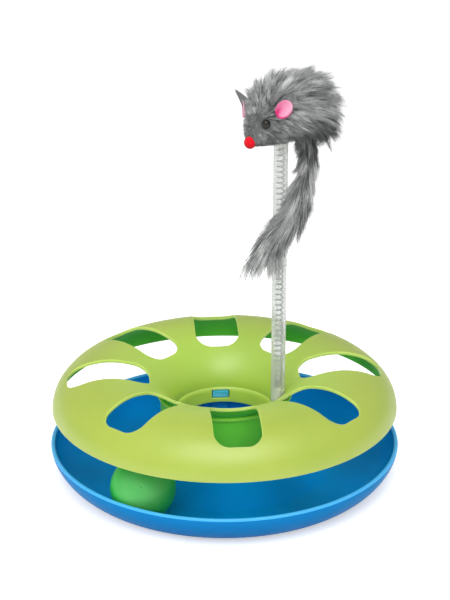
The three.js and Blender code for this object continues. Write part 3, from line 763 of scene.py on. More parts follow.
# Skirt that carries the cover on the dish, with a ledge round it under the funnel
def buildSkirt():
    k = skirt
    ledge = k["ledgeRound"]
    corners = [(k["inner"], k["bottom"], k["footRound"]), (k["outer"], k["bottom"], k["footRound"]),
               (k["outer"], k["ledgeLow"], ledge), (k["ledgeOut"], k["ledgeLow"], ledge),
               (k["ledgeOut"], k["ledgeHigh"], ledge), (k["outer"], k["ledgeHigh"], k["neckRound"])]
    corners += [(r, float(skinHeight(coverUnder, r)) + k["sink"], 0) for r in (k["outer"], k["inner"])]
    points, faces = lathe(roundCorners(corners, 3, True), k["segments"], True)
    # the skirt takes the deeper green as painted shade, the neck a darker green as painted shade and the
    # ledge a lighter green as painted highlight
    column = makePiece("coverSkirt", points, faces, "underShadeGreen", "ledgeLitGreen", "neckShadeGreen")
    for face in column.data.polygons:
        neck = face.center.z > (k["ledgeHigh"] + k["margin"]) * mm
        onLedge = face.center.xy.length > (k["outer"] + k["margin"]) * mm
        face.material_index = 2 if neck else int(onLedge)
    settle(column, "frame", "green_plastic")


# Boss with the pocket for the sleeve, trimmed under the funnel's skin
def buildBoss():
    b = boss
    pocket = b["pocket"] + b["pocketGap"]
    rows = [(b["radius"], b["bottom"]), (b["radius"], None), (pocket, None), (pocket, b["pocketFloor"])]
    points = []
    for radius, height in rows:
        for x, y in arcPoints(*mastAxis, radius, 0, 360, b["segments"])[:-1]:
            reach = math.hypot(x, y)
            top = cover["hubHeight"] - b["underHub"]
            if reach >= cover["hubRadius"]:
                top = float(skinHeight(coverTop, reach)) - b["underSkin"]
            points.append((x, y, top if height is None else min(height, top)))
    faces = ringFaces(len(rows), b["segments"]) + endFaces(len(rows), b["segments"])
    holder = makePiece("mastBoss", points, faces, "coverGreen")
    softenEdges(holder, b["soft"], 2, b["softAngle"])
    keepModifiers(holder)
    settle(holder, "frame", "green_plastic")


buildCover()
buildSkirt()
buildBoss()
print("cover, skirt and boss are in place")


# Ball: two hollow halves that meet in a fine groove, with a gate dimple at each pole
ball = dict(radius=21.5, wall=1.8, seam=0.12, groove=0.3, orbit=94.3, azimuth=230.6, height=24.5,
            pole=-94.5, tilt=30.0, dimple=0.75, dimpleEdge=0.25, dimpleDepth=0.5, rows=39, innerRows=23,
            innerFrom=0.03, dimpleShape=[(1, 0.08), (0.7, 0.5), (0.35, 0.9), (0, 1)], crease=50,
            paintedLightAt=[0.03, 0.06, 0.45, 0.85], pale=[0.7, 0, 0, 1], segments=96)


def buildBall():
    b = ball
    start = math.degrees(math.asin((b["seam"] + b["groove"]) / b["radius"]))
    outer = arcPoints(0, 0, b["radius"], start, 90, b["rows"])
    outer = [p for p in outer if p[0] > b["dimple"] + b["dimpleEdge"]]
    inner = arcPoints(0, 0, b["radius"] - b["wall"], 90, math.degrees(b["innerFrom"]), b["innerRows"])
    lip = [(inner[-1][0], b["seam"]), (b["radius"] - b["groove"], b["seam"])]
    gate = [(b["dimple"] * share, b["radius"] - b["dimpleDepth"] * deep)
            for share, deep in b["dimpleShape"]]
    points, faces = lathe(inner + lip + outer + gate, b["segments"])
    azimuth = math.radians(b["azimuth"])
    spot = Vector((b["orbit"] * math.cos(azimuth), b["orbit"] * math.sin(azimuth), b["height"]))
    tip = Matrix.Rotation(math.radians(90 - b["tilt"]), 3, "Y")
    turn = Matrix.Rotation(math.radians(b["pole"]), 3, "Z") @ tip
    for name, node, flip in (("ballFront", "ball_front_half", Matrix.Identity(3)),
                             ("ballBack", "ball_back_half", Matrix.Rotation(math.pi, 3, "X"))):
        spun = points @ np.array(turn @ flip).T + np.array(spot)
        half = makePiece(name, spun, faces, "ballGreen", crease=b["crease"])
        # painted highlight round the pole and painted rim light along the seam: the tone is paler there
        height = [abs((v.co / mm - spot).dot(turn.col[2])) / b["radius"] for v in half.data.vertices]
        setTone(half.data, np.interp(height, b["paintedLightAt"], b["pale"]))
        settle(half, "ball", "ball_plastic", node)


buildBall()
print("ball is in the track")


# Mast: sleeve and spring, and the peg and stem that hold them
mast = dict(sleeve=4.8, bore=3.8, bottom=34.7, top=242.5, chamfer=0.3, rows=84, segments=40,
            margin=0.1, wire=0.9, coil=2.4, foot=66.75, head=235.75, closeTurns=4, closePitch=1.5,
            pitch=3.7, steps=28, sides=10, bendFrom=62.0, bendTo=238.0)
rods = dict(peg=[(0, 29.7, 0), (3.0, 29.7, 0.4), (3.0, 34.7, 0), (3.5, 34.7, 0), (3.5, 40.7, 0.5),
                 (2.3, 41.9, 0.4), (2.3, 66.0, 0.3), (1.6, 66.0, 0.1), (1.6, 73.0, 0.5), (0, 73.0, 0)],
            stem=[(0, 229.5, 0), (1.6, 229.5, 0.5), (1.6, 236.5, 0.1), (3.5, 236.5, 0.3), (3.5, 242.5, 0.3),
                  (3.0, 242.5, 0.1), (3.0, 254.5, 0.5), (0, 254.5, 0)],
            segments=48)


def bendWithMouse(obj):
    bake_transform(obj)


def buildSleeve():
    m = mast
    slope = m["chamfer"]
    heights = np.linspace(m["bottom"] + slope, m["top"] - slope, m["rows"])
    outer = [(m["sleeve"], z) for z in heights]
    inner = [(m["bore"], z) for z in heights[::-1]]
    lipLow = [(m["bore"] + slope, m["bottom"]), (m["sleeve"] - slope, m["bottom"])]
    lipHigh = [(m["sleeve"] - slope, m["top"]), (m["bore"] + slope, m["top"])]
    points, faces = lathe(lipLow + outer + lipHigh + inner, m["segments"], True)
    sleeve = makePiece("springSleeve", onMast(points), faces, "clearTube", "clearBore")
    for face in sleeve.data.polygons:
        reach = math.dist(face.center.xy, [c * mm for c in mastAxis])
        face.material_index = int(reach < (m["bore"] + m["margin"]) * mm)
    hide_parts("spring_sleeve")
    bendWithMouse(sleeve)


def buildSpring():
    m = mast
    openLength = m["head"] - m["foot"] - m["closeTurns"] * m["closePitch"]
    openTurns = round(openLength / m["pitch"])
    turn = np.arange((m["closeTurns"] + openTurns) * m["steps"] + 1) / m["steps"]
    height = m["foot"] + np.minimum(turn, m["closeTurns"]) * m["closePitch"]
    height += np.maximum(turn - m["closeTurns"], 0) * openLength / openTurns
    angle = 2 * math.pi * turn
    middle = np.stack([m["coil"] * np.cos(angle), m["coil"] * np.sin(angle), height], axis=1)
    out = np.stack([np.cos(angle), np.sin(angle), np.zeros_like(angle)], axis=1)
    over = np.cross(unit(np.gradient(middle, axis=0)), out)
    around = 2 * math.pi * np.arange(m["sides"]) / m["sides"]
    lines = [middle + m["wire"] / 2 * (out * math.cos(a) + over * math.sin(a)) for a in around]
    points = np.stack(lines, axis=1).reshape(-1, 3)
    faces = ringFaces(len(middle), m["sides"]) + endFaces(len(middle), m["sides"])
    spring = makePiece("springCoil", onMast(points), faces, "springSteel")
    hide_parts("spring")
    bendWithMouse(spring)


def buildRods():
    for name, body, node, corners in (("springPeg", "mast", "spring_peg", rods["peg"]),
                                      ("mouseStem", "mouse", "mouse_stem", rods["stem"])):
        points, faces = lathe(roundCorners(corners), rods["segments"])
        rod = makePiece(name, onMast(points), faces, "pegWhite")
        settle(rod, body, "white_plastic", node)


buildSleeve()
buildSpring()
buildRods()
print("mast is in place")


# Mouse, worked out in its own directions: forward, left and up from the top of the mast
mouse = dict(belly=239.5, heading=217.5, middle=22.0)
heading = math.radians(mouse["heading"])
forwardWay = np.array((math.cos(heading), math.sin(heading), 0))
leftWay = np.array((-forwardWay[1], forwardWay[0], 0))
upWay = np.array((0, 0, 1.0))
mouseRoot = np.array((*mastAxis, mouse["belly"]))


def onMouse(forward, left, up):
    forward, left, up = (np.asarray(x, float)[..., None] for x in (forward, left, up))
    return mouseRoot + forward * forwardWay + left * leftWay + up * upWay


# Outline of the hide from rump to muzzle, under the fur: forward, half width, under, top
hideOutline = np.array([
    (-28.6, 2.0, 16.5, 24.0), (-27.0, 7.4, 12.0, 28.4), (-23.5, 12.2, 8.0, 32.4), (-18.0, 15.6, 4.8, 35.4),
    (-11.0, 17.4, 2.8, 37.2), (-4.0, 17.6, 2.0, 37.8), (3.0, 17.0, 1.6, 37.4), (9.0, 15.8, 1.4, 35.8),
    (14.0, 14.4, 1.4, 32.8), (18.5, 12.8, 1.6, 27.8), (22.5, 9.8, 1.8, 20.2), (25.6, 5.8, 2.2, 13.2),
    (27.6, 3.0, 3.2, 9.0)])
hide = dict(ends=(-28.5, 27.5), rows=72, around=64, sideSquare=0.86, topSquare=0.9)


def hideSections(forward):
    keys = hideOutline[:, 0]
    made = []
    for values in hideOutline[:, 1:].T:
        slopes = np.gradient(values, keys)
        i = np.clip(np.searchsorted(keys, forward) - 1, 0, len(keys) - 2)
        step = keys[i + 1] - keys[i]
        t = (forward - keys[i]) / step
        start = (2 * t ** 3 - 3 * t ** 2 + 1) * values[i] + (t ** 3 - 2 * t ** 2 + t) * step * slopes[i]
        end = (-2 * t ** 3 + 3 * t ** 2) * values[i + 1] + (t ** 3 - t ** 2) * step * slopes[i + 1]
        made.append(start + end)
    return made


# A place on the hide: angle 0 is left and 90 is up
def hidePoint(forward, angle):
    forward, angle = np.asarray(forward, float), np.asarray(angle, float)
    half, low, high = hideSections(forward)
    across, rise = np.cos(angle), np.sin(angle)
    across = np.sign(across) * np.abs(across) ** hide["sideSquare"]
    rise = np.sign(rise) * np.abs(rise) ** hide["topSquare"]
    return onMouse(forward, half * across, (low + high) / 2 + (high - low) / 2 * rise)


def hideGrid(forward, angle):
    return hidePoint(*np.meshgrid(forward, angle, indexing="ij"))


def buildHide():
    rows, around = hide["rows"], hide["around"]
    rump, muzzle = hide["ends"]
    # rows crowd towards both ends, so that these close roundly
    share = 0.5 - 0.5 * np.cos(np.linspace(0, math.pi, rows))
    angle = np.linspace(0, 2 * math.pi, around, endpoint=False)
    grid = hideGrid(rump + (muzzle - rump) * share, angle)
    points = list(map(tuple, grid.reshape(-1, 3)))
    faces = ringFaces(rows, around)
    for row in (0, rows - 1):
        points.append(tuple(grid[row].mean(axis=0)))
        for k in range(around):
            faces.append((row * around + k, row * around + (k + 1) % around, len(points) - 1))
    skin = makePiece("mouseHide", points, faces, "hideBacking", crease=0)
    settle(skin, "mouse", "grey_fur", "mouse_body", "mouse_head")


# Combing: spread, least and most of lengths and widths, and how short hairs are kept calm
combing = dict(tuftLength=(0.19, 0.6, 1.3), hairLength=(0.1, 0.7, 1.3), hairWidth=(0.2, 0.5, 1.5),
               calmLength=10.0, calmLeast=0.35, tipPull=1.6, taper=1.8, steps=6, sides=3, upright=0.8,
               batch=2000)


def varied(rng, count, spread, least, most):
    return rng.normal(1.0, spread, count).clip(least, most)


# Hairs as thin closed tapered strands: path is (hair, step, xyz)
def strandMesh(name, path, widths, tones):
    hairs, steps = path.shape[:2]
    sides = combing["sides"]
    along = unit(np.gradient(path, axis=1))
    leaning = np.abs(along[:, :1, 2:3]) < combing["upright"]
    helper = np.where(leaning, np.array((0, 0, 1.0)), np.array((1.0, 0, 0)))
    over = unit(np.cross(along, np.broadcast_to(helper, along.shape)))
    across = np.cross(along, over)
    body = steps - 1
    taper = 1 - np.linspace(0, 1, steps) ** combing["taper"]
    reach = (widths[:, None] * 0.5 * taper[:body])[:, :, None]
    rings = []
    for a in 2 * math.pi * np.arange(sides) / sides:
        ring = over[:, :body] * math.cos(a) + across[:, :body] * math.sin(a)
        rings.append(path[:, :body] + ring * reach)
    rings = np.stack(rings, axis=2).reshape(hairs, body * sides, 3)
    points = np.concatenate([rings, path[:, -1:]], axis=1)
    last, tip = (body - 1) * sides, body * sides
    quads = np.array(ringFaces(body, sides))[:, [1, 0, 3, 2]]
    tips = [(last + (k + 1) % sides, last + k, tip) for k in range(sides)]
    start = (np.arange(hairs) * (tip + 1))[:, None, None]
    groups = [(np.array(group)[None] + start).reshape(-1, len(group[0]))
              for group in (quads, tips, [range(sides)])]
    corners = np.concatenate([group.ravel() for group in groups]).astype(np.int32)
    totals = np.concatenate([np.full(len(group), group.shape[1]) for group in groups])
    starts = np.concatenate([[0], np.cumsum(totals)[:-1]])
    mesh = bpy.data.meshes.new(name)
    mesh.vertices.add(hairs * (tip + 1))
    mesh.vertices.foreach_set("co", (points * mm).astype(np.float32).ravel())
    mesh.loops.add(len(corners))
    mesh.loops.foreach_set("vertex_index", corners)
    mesh.polygons.add(len(totals))
    mesh.polygons.foreach_set("loop_start", starts.astype(np.int32))
    mesh.polygons.foreach_set("use_smooth", [True] * len(totals))
    setTone(mesh, np.concatenate([np.repeat(tones[:, :body], sides, axis=1), tones[:, -1:]], axis=1))
    mesh.update(calc_edges=True)
    mesh.validate()
    return mesh


def makeFur(name, path, widths, tones):
    return makeObject(name, strandMesh(name, path, widths, tones), "mouseFur")


# Which tuft each hair belongs to
def shareTufts(rng, roots, tuftCount):
    hairs, batch = len(roots), combing["batch"]
    centres = roots[rng.choice(hairs, tuftCount, replace=False)]
    tuft = np.empty(hairs, int)
    for i in range(0, hairs, batch):
        tuft[i:i + batch] = ((roots[i:i + batch, None] - centres[None]) ** 2).sum(2).argmin(1)
    return tuft


# Draws the tips of a tuft together
def gatherTips(path, tuft, tuftCount, gather):
    share = np.linspace(0, 1, path.shape[1])
    sums = np.zeros((tuftCount, 3))
    np.add.at(sums, tuft, path[:, -1])
    tips = sums / np.maximum(np.bincount(tuft, minlength=tuftCount), 1)[:, None]
    pull = (tips[tuft] - path[:, -1]) * np.reshape(gather, (-1, 1))
    return path + pull[:, None] * (share ** combing["tipPull"])[None, :, None]


# Bows each hair from its root, and gathers neighbours into tufts
def combHairs(rng, roots, starts, lengths, droop, tuftCount, gather, tuftSpread, hairSpread):
    hairs = len(roots)
    tuft = shareTufts(rng, roots, tuftCount)
    tuftTurn = rng.normal(0, tuftSpread, (tuftCount, 3))
    tuftLength = varied(rng, tuftCount, *combing["tuftLength"])
    tuftTone = rng.normal(0, 1.0, tuftCount)
    calm = np.clip(lengths / combing["calmLength"], combing["calmLeast"], 1)[:, None]
    ways = unit(starts + calm * (tuftTurn[tuft] + rng.normal(0, hairSpread, (hairs, 3))))
    lengths = lengths * tuftLength[tuft] * varied(rng, hairs, *combing["hairLength"])
    share = np.linspace(0, 1, combing["steps"])
    path = roots[:, None] + ways[:, None] * (lengths[:, None] * share)[:, :, None]
    path += droop[:, None] * (lengths[:, None] * share ** 2)[:, :, None]
    return gatherTips(path, tuft, tuftCount, gather * calm), tuft, tuftTone


# How long the fur is and how far it stands up in degrees, and where it grows close, from rump to muzzle
furGrowth = dict(at=[-32, -24, -12, 0, 8, 14, 19, 23, 28],
                 length=[14, 16, 17, 16, 13.5, 9.5, 5.0, 3.0, 1.8],
                 lift=[30, 30, 26, 27, 30, 32, 26, 20, 14],
                 crowdAt=[-42, 10, 28], crowd=[1.0, 1.0, 1.8], rows=160, around=120, step=0.05)


def furAt(key, forward):
    return np.interp(forward, furGrowth["at"], furGrowth[key])


# Roots spread over the hide by area
def hideRoots(rng, count, low, high):
    g = furGrowth
    rows, around, step = g["rows"], g["around"], g["step"]
    forward = np.linspace(low, high, rows + 1)
    angle = np.linspace(0, 2 * math.pi, around + 1)
    corner = hideGrid(forward, angle)
    sideA = corner[1:, :-1] - corner[:-1, :-1]
    sideB = corner[:-1, 1:] - corner[:-1, :-1]
    area = np.linalg.norm(np.cross(sideA, sideB), axis=2)
    middle = (forward[1:] + forward[:-1]) / 2
    weight = area * np.interp(middle, g["crowdAt"], g["crowd"])[:, None]
    cell = rng.choice(rows * around, count, p=(weight / weight.sum()).ravel())
    i, k = cell // around, cell % around
    f = forward[i] + rng.random(count) * (forward[i + 1] - forward[i])
    a = angle[k] + rng.random(count) * (angle[k + 1] - angle[k])
    root = hidePoint(f, a)
    normal = unit(np.cross(hidePoint(f, a + step) - root, hidePoint(f + step * 4, a) - root))
    inside = onMouse(f, np.zeros(count), np.full(count, mouse["middle"]))
    normal[(normal * (root - inside)).sum(1) < 0] *= -1
    return f, root, normal


# Ears, eyes and nose: where they sit, which the fur leaves clear. Left is 1 and right is -1
ears = dict(halfWidth=5.0, halfHeight=6.7, thick=1.1, cup=1.4, cupFrom=0.6, forward=15.9, side=18.4,
            up=28.0, lean=20.0, turn=38.0, spin=-16.0, farDrop=6.8, rings=14, around=56, merge=0.001,
            clearFrom=-0.6, clearTo=7.0, clearShare=0.95, foldAt=2.0, foldWidth=1.6, foldRise=0.1,
            foldDepth=1.2, rimFrom=0.72, felt={1: 0.62, -1: 1.0}, lightAcross=0.3, lightUp=0.12,
            foldShade=0.75, rimShade={1: 0.9, -1: 0.0})
eyes = dict(near=(21.6, 8.4, 17.4), far=(19.6, -8.2, 15.2), radius=3.1, squash=0.95,
            clear={1: 4.0, -1: 2.6})
nose = dict(forward=27.4, up=4.7, radius=4.0, squash=0.94, clear=4.0, tone=0.5, lightRise=0.1)
beads = dict(rows=20, around=32)
mouseSides = ((1, "left"), (-1, "right"))


def earTurn(side):
    spin = Matrix.Rotation(math.radians(side * ears["spin"]), 3, "X")
    lean = Matrix.Rotation(math.radians(-side * ears["lean"]), 3, "X")
    turn = Matrix.Rotation(math.radians(mouse["heading"] + side * ears["turn"]), 3, "Z")
    return np.array(turn @ lean @ spin)


def earMiddle(side):
    drop = ears["farDrop"] if side < 0 else 0.0
    return onMouse(ears["forward"], side * ears["side"], ears["up"] - drop)


def earPlace(side, local):
    return np.asarray(local) @ earTurn(side).T + earMiddle(side)


def eyeMiddle(side):
    return onMouse(*eyes["near" if side > 0 else "far"])


def noseMiddle():
    return onMouse(nose["forward"], 0, nose["up"])


# True for hairs that don't cross the face of an ear, an eye or the nose
def clearHairs(path):
    keep = np.linalg.norm(path - noseMiddle(), axis=2).min(1) > nose["clear"]
    for side in (1, -1):
        keep &= np.linalg.norm(path - eyeMiddle(side), axis=2).min(1) > eyes["clear"][side]
        x, y, z = np.moveaxis((path - earMiddle(side)) @ earTurn(side), -1, 0)
        inside = (y / ears["halfWidth"]) ** 2 + (z / ears["halfHeight"]) ** 2 < ears["clearShare"]
        keep &= ~(inside & (x > ears["clearFrom"]) & (x < ears["clearTo"])).any(1)
    return keep


# Coats of fur, each over part of the hide
coats = dict(
    coatBody=dict(hairs=11500, low=-28.4, high=-4.0, width=0.42, seed=11, tufts=620),
    coatHead=dict(hairs=11500, low=-5.0, high=27.3, width=0.34, seed=12, tufts=760),
    coatFuzz=dict(hairs=7000, low=-28.4, high=16.0, width=0.2, seed=13, tufts=900, gather=0.2, spread=0.24))
# How the fur lies: turns are ranges of the hide's slope, ats are ranges along the mouse
furFlow = dict(bellyTurn=(0.05, 0.55), bellyAt=(-16, -8), bellyShort=0.68, bellyFlat=0.6,
               crownTurn=(0.1, 0.6), crownAt=[8, 14, 18, 22], crownLong=0.1, crownLift=20.0,
               rumpTurn=(0.6, 0.1), rumpAt=(-12, -24), rumpLong=0.22, down=0.22, downTurn=(-0.35, 0.65),
               downFlank=0.5, downRump=0.75, droop=-0.16, drag=0.1, tuftSpread=0.15, combFrom=287.0,
               combShare=0.82)
furTone = dict(base=0.51, faceAt=(10, 20), face=0.13, faceThin=0.35, tuft=0.2, tuftFace=0.12, hair=0.11,
               tip=0.34, tipFace=0.2, tipMiddle=0.55, underTurn=(-0.2, 0.6), under=0.32, top=0.09,
               flankUp=(20, 8), flankAt=(6, -2), flankShade=0.5)


def buildCoat(name, hairs, low, high, width, seed, tufts, gather=0.55, spread=0.09):
    k, t = furFlow, furTone
    rng = np.random.default_rng(seed)
    f, root, normal = hideRoots(rng, hairs, low, high)
    rise = normal[:, 2]
    lift, length = np.radians(furAt("lift", f)), furAt("length", f)
    # short and flat under the belly, fuller on the crown and longer at the rump
    belly = fade(-rise, *k["bellyTurn"]) * fade(f, *k["bellyAt"])
    crown = fade(rise, *k["crownTurn"]) * np.interp(f, k["crownAt"], [0, 1, 1, 0])
    rump = fade(f, *k["rumpAt"])
    length = length * (1 - k["bellyShort"] * belly) * (1 + k["crownLong"] * crown)
    length = length * (1 + k["rumpLong"] * rump * fade(np.abs(rise), *k["rumpTurn"]))
    lift = lift * (1 - k["bellyFlat"] * belly) + np.radians(k["crownLift"]) * crown
    down = k["down"] + k["downFlank"] * fade(-rise, *k["downTurn"]) + k["downRump"] * rump
    flow = -forwardWay[None] - down[:, None] * upWay[None]
    flow = unit(flow - (flow * normal).sum(1)[:, None] * normal)
    starts = flow * np.cos(lift)[:, None] + normal * np.sin(lift)[:, None]
    droop = k["droop"] * upWay[None] + k["drag"] * flow
    path, tuft, tuftTone = combHairs(rng, root, starts, length, droop, tufts, gather, k["tuftSpread"],
                                     spread)
    # the crown is combed down
    path[:, :, 2] -= k["combShare"] * np.maximum(path[:, :, 2] - k["combFrom"], 0)
    share = np.linspace(0, 1, path.shape[1])
    face = fade(f, *t["faceAt"])
    base = t["base"] - t["face"] * face + (t["tuft"] - t["tuftFace"] * face) * tuftTone[tuft]
    base += rng.normal(0, t["hair"], hairs)
    tones = base[:, None] + (t["tip"] - t["tipFace"] * face)[:, None] * (share[None] - t["tipMiddle"])
    # painted shade under the body and on its top
    tones -= (t["under"] * fade(-rise, *t["underTurn"]) + t["top"] * fade(rise, 0, 1))[:, None]
    # painted shade: the under side of the flanks is darker
    spot = path - mouseRoot
    tones -= t["flankShade"] * fade(spot[:, :, 2], *t["flankUp"]) * fade(spot @ forwardWay, *t["flankAt"])
    widths = width * varied(rng, hairs, *combing["hairWidth"]) * (1 - t["faceThin"] * face)
    keep = clearHairs(path)
    settle(makeFur(name, path[keep], widths[keep], tones[keep]), "mouse", "grey_fur")


def buildEars():
    e = ears
    rings, around = e["rings"], e["around"]
    rho = (np.arange(rings + 1) / rings)[:, None]
    turn = 2 * math.pi * np.arange(around) / around
    across, up = rho * np.cos(turn), rho * np.sin(turn)
    y, z = across * e["halfWidth"], up * e["halfHeight"]
    puff = e["thick"] / 2 * np.sqrt(np.maximum(1 - rho ** 6, 0))
    for side, word in mouseSides:
        fold = np.exp(-((y + side * e["foldAt"]) / e["foldWidth"]) ** 2) * np.maximum(0, e["foldRise"] - up)
        cup = e["cup"] * (rho ** 2 - e["cupFrom"]) - e["foldDepth"] * fold
        local = np.concatenate([np.stack([cup + thick, y, z], axis=2) for thick in (puff, -puff)])
        # painted light: the felt is lighter to one side and upwards, with painted shade in the fold and
        # along the near ear's lower edge; the far ear is painted paler all over
        shade = e["felt"][side] + e["lightAcross"] * side * across + e["lightUp"] * up - e["foldShade"] * fold
        rim = np.maximum(0, side * across - up) * np.maximum(0, rho - e["rimFrom"]) / (1 - e["rimFrom"])
        tones = np.stack([shade - e["rimShade"][side] * rim, np.full(shade.shape, e["felt"][side])])
        faces = ringFaces(rings + 1, around) + ringFaces(rings + 1, around, (rings + 1) * around)
        name = "ear" + word.capitalize()
        points = earPlace(side, local.reshape(-1, 3))
        ear = makePiece(name, points, faces, "earFelt", crease=0, merge=e["merge"], tones=tones)
        settle(ear, "mouse", "pink_felt", f"mouse_ear_{word}")


# Beads: the nose is a pressed felt ball, the eyes are glass
def roundBead(name, centre, radius, squash, look, slot, node):
    points, faces = lathe(arcPoints(0, 0, radius, -90, 90, beads["rows"]), beads["around"])
    turn = Vector(forwardWay).to_track_quat("Z", "Y").to_matrix()
    points = points * np.array((1, 1, squash)) @ np.array(turn).T + centre
    return settle(makePiece(name, points, faces, look, crease=0), "mouse", slot, node)


def buildFace():
    bead = roundBead("nose", noseMiddle(), nose["radius"], nose["squash"], "noseFelt", "red_felt",
                     "mouse_nose")
    # painted light: the nose is lighter towards the top
    heights = np.array([v.co.z for v in bead.data.vertices]) / mm - noseMiddle()[2]
    setTone(bead.data, nose["tone"] + nose["lightRise"] * heights)
    for side, word in mouseSides:
        roundBead("eye" + word.capitalize(), eyeMiddle(side), eyes["radius"], eyes["squash"], "eyeBead",
                  "dark_bead", f"mouse_eye_{word}")


# The fur behind an ear is drawn up into a dark point beyond its edge
earTuft = dict(hairs=620, width=0.34, tips={1: (6.0, 17.5, 37.0), -1: (18.4, -24.0, 33.0)}, spread=0.45,
               behind=(-3.0, -1.2), across=(-1.0, 1.0), up=(-0.8, 0.7), short=0.62, shortCrowd=1.2, bow=1.2,
               tone=0.14, toneSpread=0.24, seed=31)


def buildEarTufts():
    k = earTuft
    count = k["hairs"]
    share = np.linspace(0, 1, combing["steps"])
    for side, word in mouseSides:
        rng = np.random.default_rng(k["seed"] + side)
        y = rng.uniform(*k["across"], count) * ears["halfWidth"]
        z = rng.uniform(*k["up"], count) * ears["halfHeight"]
        roots = earPlace(side, np.stack([rng.uniform(*k["behind"], count), y, z], axis=1))
        tips = onMouse(*k["tips"][side]) + rng.normal(0, k["spread"], (count, 3))
        reach = 1 - k["short"] * rng.random(count) ** k["shortCrowd"]
        path = roots[:, None] + (tips - roots)[:, None] * (reach[:, None] * share)[:, :, None]
        path += -forwardWay * k["bow"] * (4 * share * (1 - share))[None, :, None]
        keep = clearHairs(path) if side > 0 else np.full(count, True)
        tones = np.tile((k["tone"] + k["toneSpread"] * rng.random(count))[:, None], (1, len(share)))
        name = "earTuft" + word.capitalize()
        fur = makeFur(name, path[keep], np.full(keep.sum(), k["width"]), tones[keep])
        settle(fur, "mouse", "grey_fur")


buildHide()
for name, coat in coats.items():
    buildCoat(name, **coat)
buildEars()
buildFace()
buildEarTufts()
print("mouse is dressed")


# Tail: a narrow strip of hide with long fur combed down it, from its root at 0 to its tip at 1
tail = dict(path=[(17.2, 12.8, -0.8), (18.4, 9.4, -16), (13.6, 0, -30), (5.8, -14.2, -46),
                  (-7.6, -18.2, -64.5), (-13.8, -16.9, -84)],
            rootWay=(-0.1, -0.1, 0.98), endWay=(0.0, 0.05, -1.0), span=112.0, blendFrom=(0, 0, 0.002),
            blendTo=(0.0003, -0.001, -0.012), strip=2.0, stripDepth=1.3, stripEnd=0.8, endSquare=14,
            endLeast=0.02, rows=60, around=20)
tailFur = dict(hairs=10000, width=0.42, length=25.0, lengths=(0.16, 0.55, 1.4), longer=0.2,
               longerAt=(0.5, 0.8), start=-0.14, steps=7, halfWidth=[7.2, 7.6, 7.6, 8.6, 11.0, 12.5],
               halfDepth=[5.4, 5.6, 5.2, 5.0, 5.0, 4.4], fill=(0.12, 1.15), strays=0.12, strayReach=1.25,
               growFrom=0.3, growCurve=0.7, hang=0.42, hangDrop=0.96, hangSharp=1.4, hangTurn=(0.1, 1.1),
               hangAt=[0.1, 0.2, 0.42, 0.55], drawnAt=[0.0, 0.2, 0.3, 0.46], drawnIn=[0.9, 0.82, 0.68, 1.0],
               tufts=420, locks=60, tuftSpread=1.7, tuftCurve=1.5, hairSpread=0.8, hairCurve=1.7,
               gather=0.45, toneAt=[0, 0.2, 0.45, 0.75], tones=[0.45, 0.47, 0.21, 0.51], tuftTone=0.22,
               lockTone=0.11, hairTone=0.14, rootAt=(1 / 7, 0), rootShade=0.36, tip=0.3, tipMiddle=0.5,
               seed=21)


def tailLine(t):
    t = np.asarray(t, float)
    keys = np.array(tail["path"], float) + mouseRoot
    count = len(keys) - 1
    beyond = np.maximum(t - 1, 0)[..., None] * tail["span"] * np.array(tail["endWay"])
    before = np.minimum(t, 0)[..., None] * tail["span"] * np.array(tail["rootWay"])
    at = np.clip(t, 0, 1) * count
    i = np.minimum(at.astype(int), count - 1)
    u = (at - i)[..., None]
    padded = np.concatenate([[2 * keys[0] - keys[1]], keys, [2 * keys[-1] - keys[-2]]])
    a, b, c, d = (padded[i + k] for k in range(4))
    curve = 2 * b + (c - a) * u + (2 * a - 5 * b + 4 * c - d) * u ** 2 + (3 * b - a - 3 * c + d) * u ** 3
    return 0.5 * curve + beyond - before


# The tail's middle, and its ways across and deep
def tailFrame(t, step=0.01):
    t = np.asarray(t, float)
    along = unit(tailLine(t + step) - tailLine(t - step))
    depth = unit(np.cross(along, np.array((1.0, 0, 0))))
    return tailLine(t), np.cross(depth, along), depth


def hangWithTail(obj):
    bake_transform(obj)


def buildTailStrip():
    k = tail
    rows, around = k["rows"], k["around"]
    middle, across, depth = tailFrame(np.linspace(0, k["stripEnd"], rows))
    ends = 1 - np.abs(np.linspace(-1, 1, rows)) ** k["endSquare"]
    ends = np.sqrt(np.clip(ends, k["endLeast"], 1))[:, None]
    lines = []
    for a in 2 * math.pi * np.arange(around) / around:
        ring = across * k["strip"] * math.cos(a) + depth * k["stripDepth"] * math.sin(a)
        lines.append(middle + ends * ring)
    points = np.stack(lines, axis=1).reshape(-1, 3)
    faces = ringFaces(rows, around) + endFaces(rows, around)
    strip = makePiece("tailStrip", points, faces, "hideBacking")
    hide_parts("mouse_tail")
    hangWithTail(strip)


